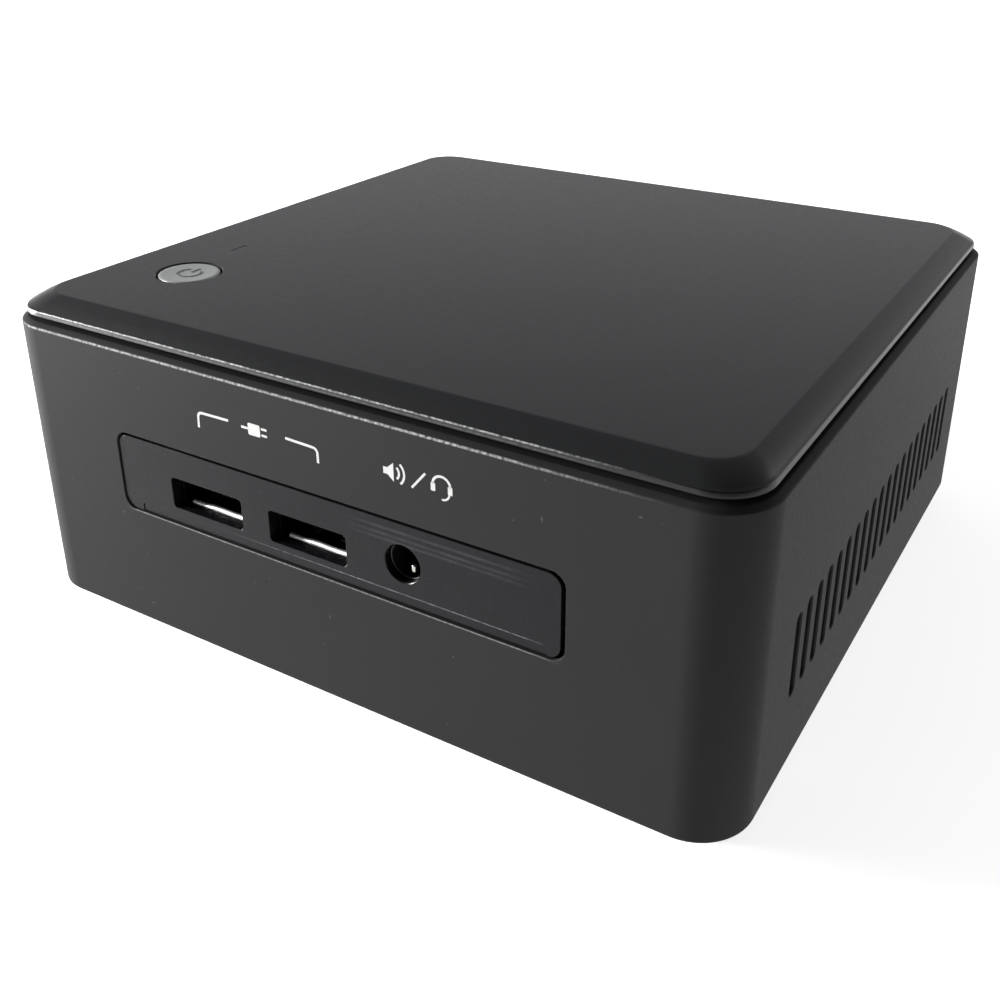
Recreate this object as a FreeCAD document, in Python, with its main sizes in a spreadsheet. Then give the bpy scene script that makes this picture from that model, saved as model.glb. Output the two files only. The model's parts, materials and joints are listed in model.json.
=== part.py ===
"""Small desktop computer in a square plastic case, as an assembly of separate pieces.

Frame: +Z up, +X to the right as seen from the front, the front face towards -Y.
Origin: the middle of the footprint, on the surface that the rubber feet stand on.
All sizes are millimetres.
"""
import FreeCAD, Part
import Sketcher
import math
import os
import re

doc = FreeCAD.newDocument("mini_pc")
sheet = doc.addObject("Spreadsheet::Sheet", "dims")

# Driving sizes: every one is a cell of the sheet, under this alias.
SIZES = dict(
    # case
    width=115.0, depth=111.0, body_height=44.4, corner_radius=7.6, wall=1.8, deck=1.8,
    shoulder_radius=0.8, base_radius=0.5, foot_drop=3.5,
    # lid: a rim, then a bevel that rises to the flat top
    lid_gap=0.4, lid_inset=1.0, lid_rim=0.85, lid_rise=1.85, lid_bevel=3.4, lid_skin=1.6,
    lid_flat_radius=5.0,
    lid_border=3.4, hook_x=38.0, hook_from_edge=9.0, hook_length=8.0, hook_thick=1.2,
    hook_lip=0.9, hook_depth=1.2, hook_play=0.3,
    # side vents
    vent_count=20, vent_pitch=4.0, vent_width=1.9, vent_height=11.8, vent_first=17.9,
    vent_low=11.4,
    # front panel recess and what opens in it
    recess_width=71.8, recess_height=12.1, recess_radius=2.0, recess_low=19.05,
    recess_depth=0.25, bezel_thick=0.6, bezel_lip=2.0, fit_gap=0.12, port_z=27.44,
    port_left_x=-19.8, port_pitch=17.6, port_hole_width=12.8, port_hole_height=4.65,
    port_hole_radius=0.6, jack_x=13.0, jack_z=28.5, jack_hole_radius=2.65,
    sensor_x=27.0, sensor_width=7.0, sensor_height=5.2, sensor_deep=5.0, sensor_window=0.6,
    # type-A sockets, front and rear
    can_width=13.1, can_height=5.72, can_sheet=0.3, can_deep=14.0, can_radius=0.7,
    tongue_width=11.1, tongue_thick=1.84, tongue_deep=11.6, tongue_rise=0.55,
    # round 3.5 mm plug sockets
    plug_radius=1.8, plug_deep=12.0, jack_body=6.6, jack_tall=5.2, jack_deep=13.0,
    collar_radius=2.5, collar_back=1.2,
    # power button, its guide and switch
    button_from_left=17.0, button_from_front=21.05, button_radius=4.6, button_gap=0.25,
    button_flange=1.0, button_flange_thick=0.9, plunger_radius=2.0,
    guide_play=0.06, guide_radius=3.6, guide_flange=6.0, guide_flange_thick=1.2,
    switch_side=6.0, switch_height=3.4, actuator_radius=1.7, actuator_play=0.05,
    actuator_proud=0.8, actuator_in=0.9, actuator_well=1.6, rest_gap=0.05,
    # activity light
    light_from_left=15.0, light_from_front=33.9, light_length=3.5, light_width=0.8,
    light_gap=0.05, light_stem=2.0, light_flange=1.0, light_flange_thick=0.6, led_height=1.0,
    led_length=3.2, led_width=1.6, light_air=0.4,
    # circuit board and the posts that carry it
    board_under=31.3, board_thick=1.6, board_margin=4.9, board_rear=2.4, board_post_radius=2.75,
    board_post_from_side=10.0, board_post_front=33.5, board_post_rear=23.5,
    # bottom cover, corner posts, feet and screws
    cover_recess=0.3, cover_thick=1.2, cover_gap=0.2, post_inset=9.5, post_radius=3.2,
    post_gap=0.5, foot_radius=5.8, foot_bevel=0.5, foot_bore=3.3, thread_radius=1.25,
    screw_radius=1.2, head_radius=2.6, head_height=2.0, cover_hole=1.7, thread_deep=9.0,
    screw_length=8.0, bracket_pitch=50.0, board_head=1.6, board_screw=6.0, board_hole=1.6,
    # rear panel
    panel_width=92.4, panel_low=13.2, panel_high=44.8, panel_recess=0.6, panel_thick=1.2,
    panel_lip=1.5, panel_radius=1.2, cut_gap=0.2, grille_count=14, grille_pitch=3.4,
    grille_width=1.7, grille_low=34.0, grille_height=9.6, grille_x=-10.1,
    # rear sockets, measured from the middle
    inlet_x=38.6, inlet_width=9.0, inlet_tall=10.6, inlet_deep=14.0, inlet_bore=2.85,
    inlet_collar=3.6, inlet_pin=1.25, inlet_pin_length=9.0, video_x=22.0, video_width=15.0,
    video_height=5.5, video_deep=12.0, video_tongue=11.4, video_tongue_thick=1.2,
    network_x=-2.0, network_width=16.0, network_height=13.5, network_deep=21.0,
    network_bay=11.9, network_bay_height=8.2, network_bay_deep=14.0, network_notch=6.2,
    network_notch_height=2.2, stack_x=-21.5, stack_height=15.6, sound_x=-38.6,
    # processor and cooling
    cpu_x=-28.0, cpu_y=-2.0, cpu_width=25.0, cpu_length=27.0, cpu_thick=1.2, die_side=11.0,
    die_thick=0.6, spreader_width=27.0, spreader_length=36.0, spreader_thick=1.5,
    pipe_width=7.0, pipe_thick=2.6, pipe_bend=14.0, pipe_end=35.0, fan_x=12.0, fan_y=10.0,
    blower_radius=26.0, blower_wall=1.0, blower_low=2.4, blower_height=9.4, blower_outlet=30.5,
    inlet_radius=15.0, blower_lid=0.8, impeller_radius=21.5, blade_count=27, blade_thick=0.5,
    blade_offset=4.0, blade_height=6.0, blade_low=2.0, hub_radius=9.5, hub_wall=1.2,
    rotor_gap=0.5, motor_radius=7.4, motor_height=4.6, bearing_radius=2.2, shaft_radius=1.0,
    shaft_play=0.04, bearing_height=5.6, fin_count=29, fin_pitch=1.6, fin_thick=0.35,
    fin_deep=10.5, fin_top=44.3, fin_sheet=0.6, fin_x=-9.9,
    # memory, radio card and clock cell, all on the underside of the board
    memory_x=14.3, memory_y=8.0, memory_width=67.6, memory_length=30.0, memory_thick=1.0,
    memory_drop=3.4, socket_length=72.0, socket_deep=6.5, socket_tall=5.2, socket_bite=4.0,
    arm_thick=1.2, arm_length=24.0, slot_play=0.1, chip_width=9.0, chip_length=11.0,
    chip_thick=1.0, chip_count=4, chip_pitch=16.0, card_x=-33.2, card_y=26.0, card_width=22.0,
    card_length=30.0, card_thick=0.8, card_drop=2.4, card_bite=3.0, card_socket_tall=3.6,
    card_socket_deep=7.0, shield_width=16.0, shield_length=15.0, shield_thick=1.3,
    cell_x=34.0, cell_from_front=20.0, cell_radius=10.0, cell_thick=3.2, cell_play=0.15,
    cell_wall=1.2, antenna_x=20.0, antenna_length=28.0, antenna_width=7.0,
    antenna_thick=0.6, antenna_from_front=7.5, lead_radius=0.6,
    # drive and its cage
    drive_y=-5.5, drive_length=100.2, drive_width=69.85, drive_height=9.5, drive_lift=2.6,
    cage_length=86.0, cage_sheet=0.8, cage_gap=0.3, cage_foot=5.5, cage_foot_length=74.0,
    window_length=56.0, window_width=44.0, drive_screw_x=36.0, drive_screw_z=3.0,
    drive_screw_length=3.4, drive_head=1.2, drive_hole=1.5, drive_hole_deep=4.0,
    plug_width=34.0, plug_tall=4.4, plug_thick=4.6, plug_y=-3.0, ribbon_width=24.0,
    ribbon_thick=0.4, ribbon_out=2.6, ribbon_reach=3.02, ribbon_drop=2.4, header_tall=4.0,
    header_deep=4.6,
    # cable-lock slot in the left wall
    lock_width=7.0, lock_height=3.0, lock_from_rear=17.5, lock_z=38.0,
)
for row, (alias, number) in enumerate(SIZES.items(), start=1):
    sheet.set(f"A{row}", alias)
    sheet.set(f"B{row}", str(number))
    sheet.setAlias(f"B{row}", alias)
doc.recompute()

# Places worked out from the driving sizes, kept as expressions so that they follow the sheet.
PLACES = {}
NODES = {}


def expand(text):
    """Expression for a text written with size and place names."""
    def swap(match):
        word = match.group(0)
        if word in PLACES:
            return PLACES[word]
        return f"dims.{word}" if word in SIZES else word
    return re.sub(r"[a-z_][a-z_0-9]*", swap, str(text))


def let(**places):
    """Name one or more places or lengths."""
    for name, text in places.items():
        PLACES[name] = f"({expand(text)})"


def number(text):
    """Present value of an expression."""
    return float(sheet.evalExpression(expand(text)))


def bind(thing, **properties):
    """Tie properties of a document object to expressions."""
    for name, text in properties.items():
        thing.setExpression(name.replace("__", "."), expand(text))


def move_to(thing, x=0, y=0, z=0):
    """Tie an object's place to three expressions."""
    bind(thing, Placement__Base__x=x, Placement__Base__y=y, Placement__Base__z=z)


def node(thing, label):
    """Register a finished sub-part under its own label."""
    thing.Label = label
    NODES[label] = thing
    return thing


# ---------------------------------------------------------------- sketches and features

PLANES = {"z": "XY_Plane", "y": "XZ_Plane", "x": "YZ_Plane"}


def new_body(label):
    """Empty PartDesign body that becomes the named sub-part."""
    return node(doc.addObject("PartDesign::Body", label), label)


def origin_part(body, role):
    """Plane or axis of a body's own origin."""
    return next(item for item in body.Origin.OriginFeatures if item.Role == role)


def new_sketch(body, along, across, up, level):
    """Sketch square to the axis `along`, its zero at (across, up), at `level` on that axis."""
    sketch = body.newObject("Sketcher::SketchObject", "sketch")
    sketch.AttachmentSupport = [(origin_part(body, PLANES[along]), "")]
    sketch.MapMode = "FlatFace"
    height = f"-({level})" if along == "y" else level
    bind(sketch, AttachmentOffset__Base__x=across, AttachmentOffset__Base__y=up,
         AttachmentOffset__Base__z=height)
    return sketch


def point(x, y):
    return FreeCAD.Vector(x, y, 0)


def dimension(sketch, name, text, kind, *geometry):
    """Driving dimension bound to an expression."""
    index = sketch.addConstraint(Sketcher.Constraint(kind, *geometry, number(text)))
    sketch.renameConstraint(index, name)
    sketch.setExpression(f"Constraints.{name}", expand(text))


def draw_rectangle(sketch, wide, high, radius=None):
    """Rectangle about the sketch's zero, its corners rounded when a radius is given."""
    r = number(radius) if radius else 0.0
    x, y = number(wide) / 2, number(high) / 2
    ends = [(-x + r, -y, x - r, -y), (x, -y + r, x, y - r),
            (x - r, y, -x + r, y), (-x, y - r, -x, -y + r)]
    for x0, y0, x1, y1 in ends:
        sketch.addGeometry(Part.LineSegment(point(x0, y0), point(x1, y1)), False)
    for line, kind in enumerate(("Horizontal", "Vertical") * 2):
        sketch.addConstraint(Sketcher.Constraint(kind, line))
    if not radius:
        for line in range(4):
            sketch.addConstraint(Sketcher.Constraint("Coincident", line, 2, (line + 1) % 4, 1))
        sketch.addConstraint(Sketcher.Constraint("Symmetric", 0, 1, 1, 2, -1, 1))
        dimension(sketch, "wide", wide, "DistanceX", 0, 1, 0, 2)
        dimension(sketch, "high", high, "DistanceY", 1, 1, 1, 2)
        return
    middles = [(x - r, -y + r), (x - r, y - r), (-x + r, y - r), (-x + r, -y + r)]
    for corner, (cx, cy) in enumerate(middles):
        circle = Part.Circle(point(cx, cy), FreeCAD.Vector(0, 0, 1), r)
        start = (corner - 1) * math.pi / 2
        sketch.addGeometry(Part.ArcOfCircle(circle, start, start + math.pi / 2), False)
    for corner in range(4):
        arc = corner + 4
        sketch.addConstraint(Sketcher.Constraint("Tangent", corner, 2, arc, 1))
        sketch.addConstraint(Sketcher.Constraint("Tangent", arc, 2, (corner + 1) % 4, 1))
        if corner:
            sketch.addConstraint(Sketcher.Constraint("Equal", 4, arc))
    sketch.addConstraint(Sketcher.Constraint("Symmetric", 4, 3, 6, 3, -1, 1))
    dimension(sketch, "corner", radius, "Radius", 4)
    dimension(sketch, "wide", f"({wide}) - 2 * ({radius})", "DistanceX", 7, 3, 4, 3)
    dimension(sketch, "high", f"({high}) - 2 * ({radius})", "DistanceY", 4, 3, 5, 3)


def draw_circle(sketch, radius):
    """Circle about the sketch's zero."""
    sketch.addGeometry(Part.Circle(point(0, 0), FreeCAD.Vector(0, 0, 1), number(radius)), False)
    sketch.addConstraint(Sketcher.Constraint("Coincident", 0, 3, -1, 1))
    dimension(sketch, "radius", radius, "Radius", 0)


def draw_slot(sketch, wide, high):
    """Upright slot with round ends, about the sketch's zero."""
    r = number(wide) / 2
    reach = number(high) / 2 - r
    sketch.addGeometry(Part.LineSegment(point(r, -reach), point(r, reach)), False)
    sketch.addGeometry(Part.LineSegment(point(-r, reach), point(-r, -reach)), False)
    top = Part.Circle(point(0, reach), FreeCAD.Vector(0, 0, 1), r)
    sketch.addGeometry(Part.ArcOfCircle(top, 0, math.pi), False)
    bottom = Part.Circle(point(0, -reach), FreeCAD.Vector(0, 0, 1), r)
    sketch.addGeometry(Part.ArcOfCircle(bottom, math.pi, 2 * math.pi), False)
    for first, end, second, start in ((0, 2, 2, 1), (2, 2, 1, 1), (1, 2, 3, 1), (3, 2, 0, 1)):
        sketch.addConstraint(Sketcher.Constraint("Tangent", first, end, second, start))
    sketch.addConstraint(Sketcher.Constraint("Equal", 2, 3))
    sketch.addConstraint(Sketcher.Constraint("Vertical", 0))
    sketch.addConstraint(Sketcher.Constraint("Symmetric", 2, 3, 3, 3, -1, 1))
    dimension(sketch, "radius", f"({wide}) / 2", "Radius", 2)
    dimension(sketch, "reach", f"({high}) - ({wide})", "DistanceY", 3, 3, 2, 3)


def draw_scroll(sketch, radius, outlet):
    """Half circle towards -Y, with straight sides that run to an outlet at +Y."""
    r, y = number(radius), number(outlet)
    circle = Part.Circle(point(0, 0), FreeCAD.Vector(0, 0, 1), r)
    sketch.addGeometry(Part.ArcOfCircle(circle, math.pi, 2 * math.pi), False)
    sketch.addGeometry(Part.LineSegment(point(r, 0), point(r, y)), False)
    sketch.addGeometry(Part.LineSegment(point(r, y), point(-r, y)), False)
    sketch.addGeometry(Part.LineSegment(point(-r, y), point(-r, 0)), False)
    sketch.addConstraint(Sketcher.Constraint("Tangent", 0, 2, 1, 1))
    sketch.addConstraint(Sketcher.Constraint("Coincident", 1, 2, 2, 1))
    sketch.addConstraint(Sketcher.Constraint("Coincident", 2, 2, 3, 1))
    sketch.addConstraint(Sketcher.Constraint("Tangent", 3, 2, 0, 1))
    sketch.addConstraint(Sketcher.Constraint("Vertical", 1))
    sketch.addConstraint(Sketcher.Constraint("Horizontal", 2))
    sketch.addConstraint(Sketcher.Constraint("Coincident", 0, 3, -1, 1))
    dimension(sketch, "radius", radius, "Radius", 0)
    dimension(sketch, "outlet", outlet, "DistanceY", 1, 1, 1, 2)


def extrude(body, draw, sizes, along="z", across=0, up=0, low=0, length=1, cut=False):
    """Pad, or cut, a profile from `low` for `length` towards the plus side of an axis."""
    level = f"({low}) + ({length})" if along == "y" else low
    sketch = new_sketch(body, along, across, up, level)
    draw(sketch, *sizes)
    kind = "PartDesign::Pocket" if cut else "PartDesign::Pad"
    feature = body.newObject(kind, "cut" if cut else "pad")
    feature.Profile = sketch
    feature.Reversed = cut
    bind(feature, Length=length)
    body.Tip = feature
    return feature


def linear_pattern(body, feature, axis, pitch, count):
    """Repeat a feature along an axis of the body."""
    pattern = body.newObject("PartDesign::LinearPattern", "row")
    pattern.Originals = [feature]
    pattern.Direction = (origin_part(body, axis), [""])
    pattern.Mode = "Spacing"
    bind(pattern, Offset=pitch, Occurrences=count)
    body.Tip = pattern


def round_edges(body, radius, wanted):
    """Fillet the edges of the body so far that `wanted` accepts."""
    doc.recompute()
    base = body.Tip
    names = [f"Edge{i}" for i, edge in enumerate(base.Shape.Edges, start=1) if wanted(edge)]
    fillet = body.newObject("PartDesign::Fillet", "round")
    fillet.Base = (base, names)
    bind(fillet, Radius=radius)
    body.Tip = fillet


def lies_at(level):
    """Test for edges that lie flat at one height."""
    height = number(level)

    def test(edge):
        box = edge.BoundBox
        return abs(box.ZMin - height) < 1e-4 and abs(box.ZMax - height) < 1e-4
    return test


# ---------------------------------------------------------------- primitives and booleans

def box(x, y, z, wide, deep, tall):
    """Box from its lowest corner."""
    solid = doc.addObject("Part::Box", "box")
    bind(solid, Length=wide, Width=deep, Height=tall)
    move_to(solid, x, y, z)
    return solid


def block(x, y, z, wide, deep, tall):
    """Box centred on x and y, standing at z."""
    return box(f"({x}) - ({wide}) / 2", f"({y}) - ({deep}) / 2", z, wide, deep, tall)


def cylinder(x, y, z, radius, length, along="z"):
    """Cylinder that starts at a point and runs along +Z or +Y."""
    solid = doc.addObject("Part::Cylinder", "cylinder")
    bind(solid, Radius=radius, Height=length)
    if along == "y":
        solid.Placement.Rotation = FreeCAD.Rotation(FreeCAD.Vector(1, 0, 0), -90)
    move_to(solid, x, y, z)
    return solid


def fuse(*solids):
    joined = doc.addObject("Part::MultiFuse", "joined")
    joined.Shapes = list(solids)
    return joined


def group(*solids):
    """Several separate solids kept as one node."""
    together = doc.addObject("Part::Compound", "group")
    together.Links = list(solids)
    return together


def cut(base, *tools):
    left = doc.addObject("Part::Cut", "cut")
    left.Base = base
    left.Tool = tools[0] if len(tools) == 1 else fuse(*tools)
    return left


def corners(x, y):
    """Expressions for the four places (+-x, +-y)."""
    return [(f"{i} * ({x})", f"{j} * ({y})") for j in (-1, 1) for i in (-1, 1)]


CORNER_NAMES = ("front_left", "front_right", "rear_left", "rear_right")

# ---------------------------------------------------------------- shared places

let(half_width="width / 2", half_depth="depth / 2")
let(body_bottom="foot_drop", body_top="foot_drop + body_height")
let(deck_under="body_top - deck", lid_bottom="body_top + lid_gap")
let(lid_top="lid_bottom + lid_rim + lid_rise", lid_under="lid_top - lid_skin")
let(front_face="-half_depth", inner_front="wall - half_depth", inner_rear="half_depth - wall")
let(inner_width="width - 2 * wall", inner_depth="depth - 2 * wall")
let(cover_low="body_bottom + cover_recess", cover_top="cover_low + cover_thick")
let(post_x="half_width - post_inset", post_y="half_depth - post_inset")
let(board_width="inner_width - 2 * board_margin", board_top="board_under + board_thick")
let(board_front="inner_front + board_rear + 1", board_back="inner_rear - board_rear")
let(board_depth="board_back - board_front", board_y="(board_front + board_back) / 2")
let(board_post_x="half_width - board_post_from_side")
let(board_post_low_y="board_post_front - half_depth", board_post_high_y="half_depth - board_post_rear")
let(button_x="button_from_left - half_width", button_y="button_from_front - half_depth")
let(light_x="light_from_left - half_width", light_y="light_from_front - half_depth")
let(hook_y="half_depth - hook_from_edge", recess_z="body_bottom + recess_low + recess_height / 2")
let(panel_z="(panel_low + panel_high) / 2", panel_height="panel_high - panel_low")
let(panel_outside="half_depth - panel_recess")
BOARD_POSTS = [("board_post_x", "board_post_low_y"), ("board_post_x", "board_post_high_y"),
               ("-board_post_x", "board_post_low_y"), ("-board_post_x", "board_post_high_y")]


# ---------------------------------------------------------------- case

def make_shell():
    """Sleeve with a deck on top; posts hang from the deck, and the bottom is open."""
    body = new_body("chassis_shell")
    extrude(body, draw_rectangle, ("width", "depth", "corner_radius"),
            low="body_bottom", length="body_height")
    round_edges(body, "shoulder_radius", lies_at("body_top"))
    round_edges(body, "base_radius", lies_at("body_bottom"))
    extrude(body, draw_rectangle, ("inner_width", "inner_depth", "corner_radius - wall"),
            low="body_bottom", length="body_height - deck", cut=True)
    for x, y in corners("post_x", "post_y"):
        extrude(body, draw_circle, ("post_radius",), across=x, up=y,
                low="cover_top", length="deck_under - cover_top")
        extrude(body, draw_circle, ("thread_radius",), across=x, up=y,
                low="cover_top", length="thread_deep", cut=True)
    for x, y in BOARD_POSTS:
        extrude(body, draw_circle, ("board_post_radius",), across=x, up=y,
                low="board_top", length="deck_under - board_top")
        extrude(body, draw_circle, ("thread_radius",), across=x, up=y,
                low="board_top", length="board_screw", cut=True)
    extrude(body, draw_rectangle, ("recess_width", "recess_height", "recess_radius"), along="y",
            up="recess_z", low="front_face", length="wall", cut=True)
    extrude(body, draw_rectangle, ("panel_width", "panel_height", "panel_radius"), along="y",
            up="panel_z", low="inner_rear", length="wall", cut=True)
    extrude(body, draw_circle, ("guide_radius + fit_gap",), across="button_x", up="button_y",
            low="deck_under", length="deck", cut=True)
    extrude(body, draw_rectangle, ("light_stem + 2 * light_air", "light_length + 2 * light_air"),
            across="light_x", up="light_y", low="deck_under", length="deck", cut=True)
    for x, y in corners("hook_x", "hook_y"):
        extrude(body, draw_rectangle,
                ("hook_length + 2 * hook_play", "hook_thick + 2 * hook_lip + 2 * hook_play"),
                across=x, up=y, low="deck_under", length="deck", cut=True)
    extrude(body, draw_rectangle, ("lock_width", "lock_height"), along="x",
            across="half_depth - lock_from_rear", up="lock_z", low="-half_width", length="wall",
            cut=True)
    vent = extrude(body, draw_slot, ("vent_width", "vent_height"), along="x",
                   across="vent_first - half_depth", up="body_bottom + vent_low + vent_height / 2",
                   low="-half_width - 1", length="width + 2", cut=True)
    linear_pattern(body, vent, "Y_Axis", "vent_pitch", "vent_count")


def make_lid():
    """Lid held by four hooks: an upright rim, a bevel all round and a flat top, hollow below."""
    body = new_body("top_lid")
    let(lid_width="width - 2 * lid_inset", lid_depth="depth - 2 * lid_inset")
    let(lid_radius="corner_radius - lid_inset")
    extrude(body, draw_rectangle, ("lid_width", "lid_depth", "lid_radius"),
            low="lid_bottom", length="lid_rim")
    edge = new_sketch(body, "z", 0, 0, "lid_bottom + lid_rim")
    draw_rectangle(edge, "lid_width", "lid_depth", "lid_radius")
    flat = new_sketch(body, "z", 0, 0, "lid_top")
    draw_rectangle(flat, "lid_width - 2 * lid_bevel", "lid_depth - 2 * lid_bevel",
                   "lid_flat_radius")
    bevel = body.newObject("PartDesign::AdditiveLoft", "bevel")
    bevel.Profile = edge
    bevel.Sections = [flat]
    bevel.Ruled = True
    body.Tip = bevel
    extrude(body, draw_rectangle, ("lid_width - 2 * lid_border", "lid_depth - 2 * lid_border",
                                   "lid_radius - lid_bevel"),
            low="lid_bottom", length="lid_under - lid_bottom", cut=True)
    extrude(body, draw_circle, ("button_radius + button_gap",), across="button_x", up="button_y",
            low="lid_under", length="lid_skin", cut=True)
    extrude(body, draw_slot, ("light_width", "light_length"), across="light_x", up="light_y",
            low="lid_under", length="lid_skin", cut=True)
    for side in (-1, 1):
        for x in ("-hook_x", "hook_x"):
            extrude(body, draw_rectangle, ("hook_length", "hook_thick"), across=x,
                    up=f"{side} * hook_y", low="deck_under - hook_depth",
                    length="lid_under - deck_under + hook_depth")
            extrude(body, draw_rectangle, ("hook_length", "hook_lip"), across=x,
                    up=f"{side} * (hook_y + hook_thick / 2 + hook_lip / 2)",
                    low="deck_under - hook_depth", length="hook_depth - hook_play")


def make_bezel():
    """Front socket panel: it fills the recess from behind and has a lip behind the wall."""
    body = new_body("front_io_bezel")
    extrude(body, draw_rectangle, ("recess_width + 2 * bezel_lip", "recess_height + 2 * bezel_lip",
                                   "recess_radius"),
            along="y", up="recess_z", low="inner_front", length="bezel_thick")
    extrude(body, draw_rectangle, ("recess_width - 2 * fit_gap", "recess_height - 2 * fit_gap",
                                   "recess_radius - fit_gap"),
            along="y", up="recess_z", low="front_face + recess_depth", length="wall - recess_depth")
    let(bezel_front="front_face + recess_depth", bezel_back="inner_front + bezel_thick")
    let(bezel_deep="bezel_back - bezel_front")
    for step in (0, 1):
        extrude(body, draw_rectangle, ("port_hole_width", "port_hole_height", "port_hole_radius"),
                along="y", across=f"port_left_x + {step} * port_pitch", up="port_z",
                low="bezel_front", length="bezel_deep", cut=True)
    extrude(body, draw_circle, ("jack_hole_radius",), along="y", across="jack_x", up="jack_z",
            low="bezel_front", length="bezel_deep", cut=True)
    extrude(body, draw_rectangle, ("sensor_width + 2 * fit_gap", "sensor_height + 2 * fit_gap"),
            along="y", across="sensor_x", up="jack_z", low="bezel_front + sensor_window",
            length="bezel_deep - sensor_window", cut=True)


def make_bottom():
    """Steel bottom cover, the feet under its corners, and the captive screws inside the feet."""
    body = new_body("bottom_cover")
    extrude(body, draw_rectangle, ("inner_width - 2 * cover_gap", "inner_depth - 2 * cover_gap",
                                   "corner_radius - wall - cover_gap"),
            low="cover_low", length="cover_thick")
    screws = []
    for (x, y), name in zip(corners("post_x", "post_y"), CORNER_NAMES):
        extrude(body, draw_circle, ("cover_hole",), across=x, up=y,
                low="cover_low", length="cover_thick", cut=True)
        foot = new_body(f"foot_{name}")
        extrude(foot, draw_circle, ("foot_radius",), across=x, up=y, length="cover_low")
        extrude(foot, draw_circle, ("foot_bore",), across=x, up=y, length="cover_low", cut=True)
        rim = number("foot_radius")
        round_edges(foot, "foot_bevel", lambda edge: lies_at("0")(edge)
                    and abs(edge.Curve.Radius - rim) < 1e-4)
        screws.append(fuse(cylinder(x, y, "cover_low - head_height", "head_radius", "head_height"),
                           cylinder(x, y, "cover_low", "screw_radius", "screw_length")))
    for side in (-1, 1):
        extrude(body, draw_circle, ("thread_radius",), across=f"{side} * bracket_pitch / 2",
                low="cover_low", length="cover_thick", cut=True)
    node(group(*screws), "cover_screws")


# ---------------------------------------------------------------- circuit board and controls

def make_board():
    """Square board with notched corners, its four screws and the switch side pieces."""
    board = block(0, "board_y", "board_under", "board_width", "board_depth", "board_thick")
    let(notch_x="post_x - post_radius - post_gap", notch_y="post_y - post_radius - post_gap")
    tools = []
    for i, j in ((-1, -1), (1, -1), (-1, 1), (1, 1)):
        tools.append(block(f"{i} * (notch_x + half_width) / 2", f"{j} * (notch_y + half_depth) / 2",
                           "board_under", "half_width - notch_x", "half_depth - notch_y",
                           "board_thick"))
    screws = []
    for x, y in BOARD_POSTS:
        tools.append(cylinder(x, y, "board_under", "board_hole", "board_thick"))
        screws.append(fuse(
            cylinder(x, y, "board_under - board_head", "head_radius", "board_head"),
            cylinder(x, y, "board_under", "screw_radius", "board_screw")))
    node(cut(board, *tools), "motherboard")
    node(group(*screws), "board_screws")


def make_power_button():
    """Round cap with a plunger that reaches down to the switch on the board."""
    let(switch_top="board_top + switch_height", plunger_low="switch_top + actuator_proud")
    let(cap_low="lid_under - rest_gap", flange_low="cap_low - button_flange_thick")
    button = new_body("power_button")
    extrude(button, draw_circle, ("plunger_radius",), low="plunger_low",
            length="flange_low - plunger_low")
    extrude(button, draw_circle, ("button_radius + button_flange",), low="flange_low",
            length="button_flange_thick")
    extrude(button, draw_circle, ("button_radius",), low="cap_low", length="lid_top - cap_low")
    round_edges(button, "button_gap", lies_at("lid_top"))
    move_to(button, "button_x", "button_y", 0)

    actuator = cylinder("button_x", "button_y", "switch_top - actuator_in", "actuator_radius",
                        "actuator_in + actuator_proud")
    node(actuator, "power_switch_actuator")
    housing = block("button_x", "button_y", "board_top", "switch_side", "switch_side",
                    "switch_height")
    well = cylinder("button_x", "button_y", "switch_top - actuator_well",
                    "actuator_radius + actuator_play", "actuator_well")
    node(cut(housing, well), "power_switch")

    flange = cylinder("button_x", "button_y", "deck_under - guide_flange_thick", "guide_flange",
                      "guide_flange_thick")
    sleeve = cylinder("button_x", "button_y", "deck_under", "guide_radius", "deck")
    bore = cylinder("button_x", "button_y", "deck_under - guide_flange_thick",
                    "plunger_radius + guide_play", "deck + guide_flange_thick")
    node(cut(fuse(flange, sleeve), bore), "button_guide")


def make_activity_light():
    """Clear light pipe from an LED on the board to the slit in the lid."""
    let(led_top="board_top + led_height", pipe_low="led_top + light_gap")
    node(block("light_x", "light_y", "board_top", "led_width", "led_length", "led_height"),
         "activity_led")
    pipe = new_body("activity_light_pipe")
    extrude(pipe, draw_rectangle, ("light_stem", "light_length"), across="light_x", up="light_y",
            low="pipe_low", length="body_top - pipe_low")
    extrude(pipe, draw_rectangle, ("light_stem + 2 * light_flange", "light_length + 2 * light_flange"),
            across="light_x", up="light_y", low="body_top", length="light_flange_thick")
    extrude(pipe, draw_slot, ("light_width - 2 * light_gap", "light_length - 2 * light_gap"),
            across="light_x", up="light_y", low="body_top + light_flange_thick",
            length="lid_top - body_top - light_flange_thick - light_gap")


# ---------------------------------------------------------------- sockets

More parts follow.
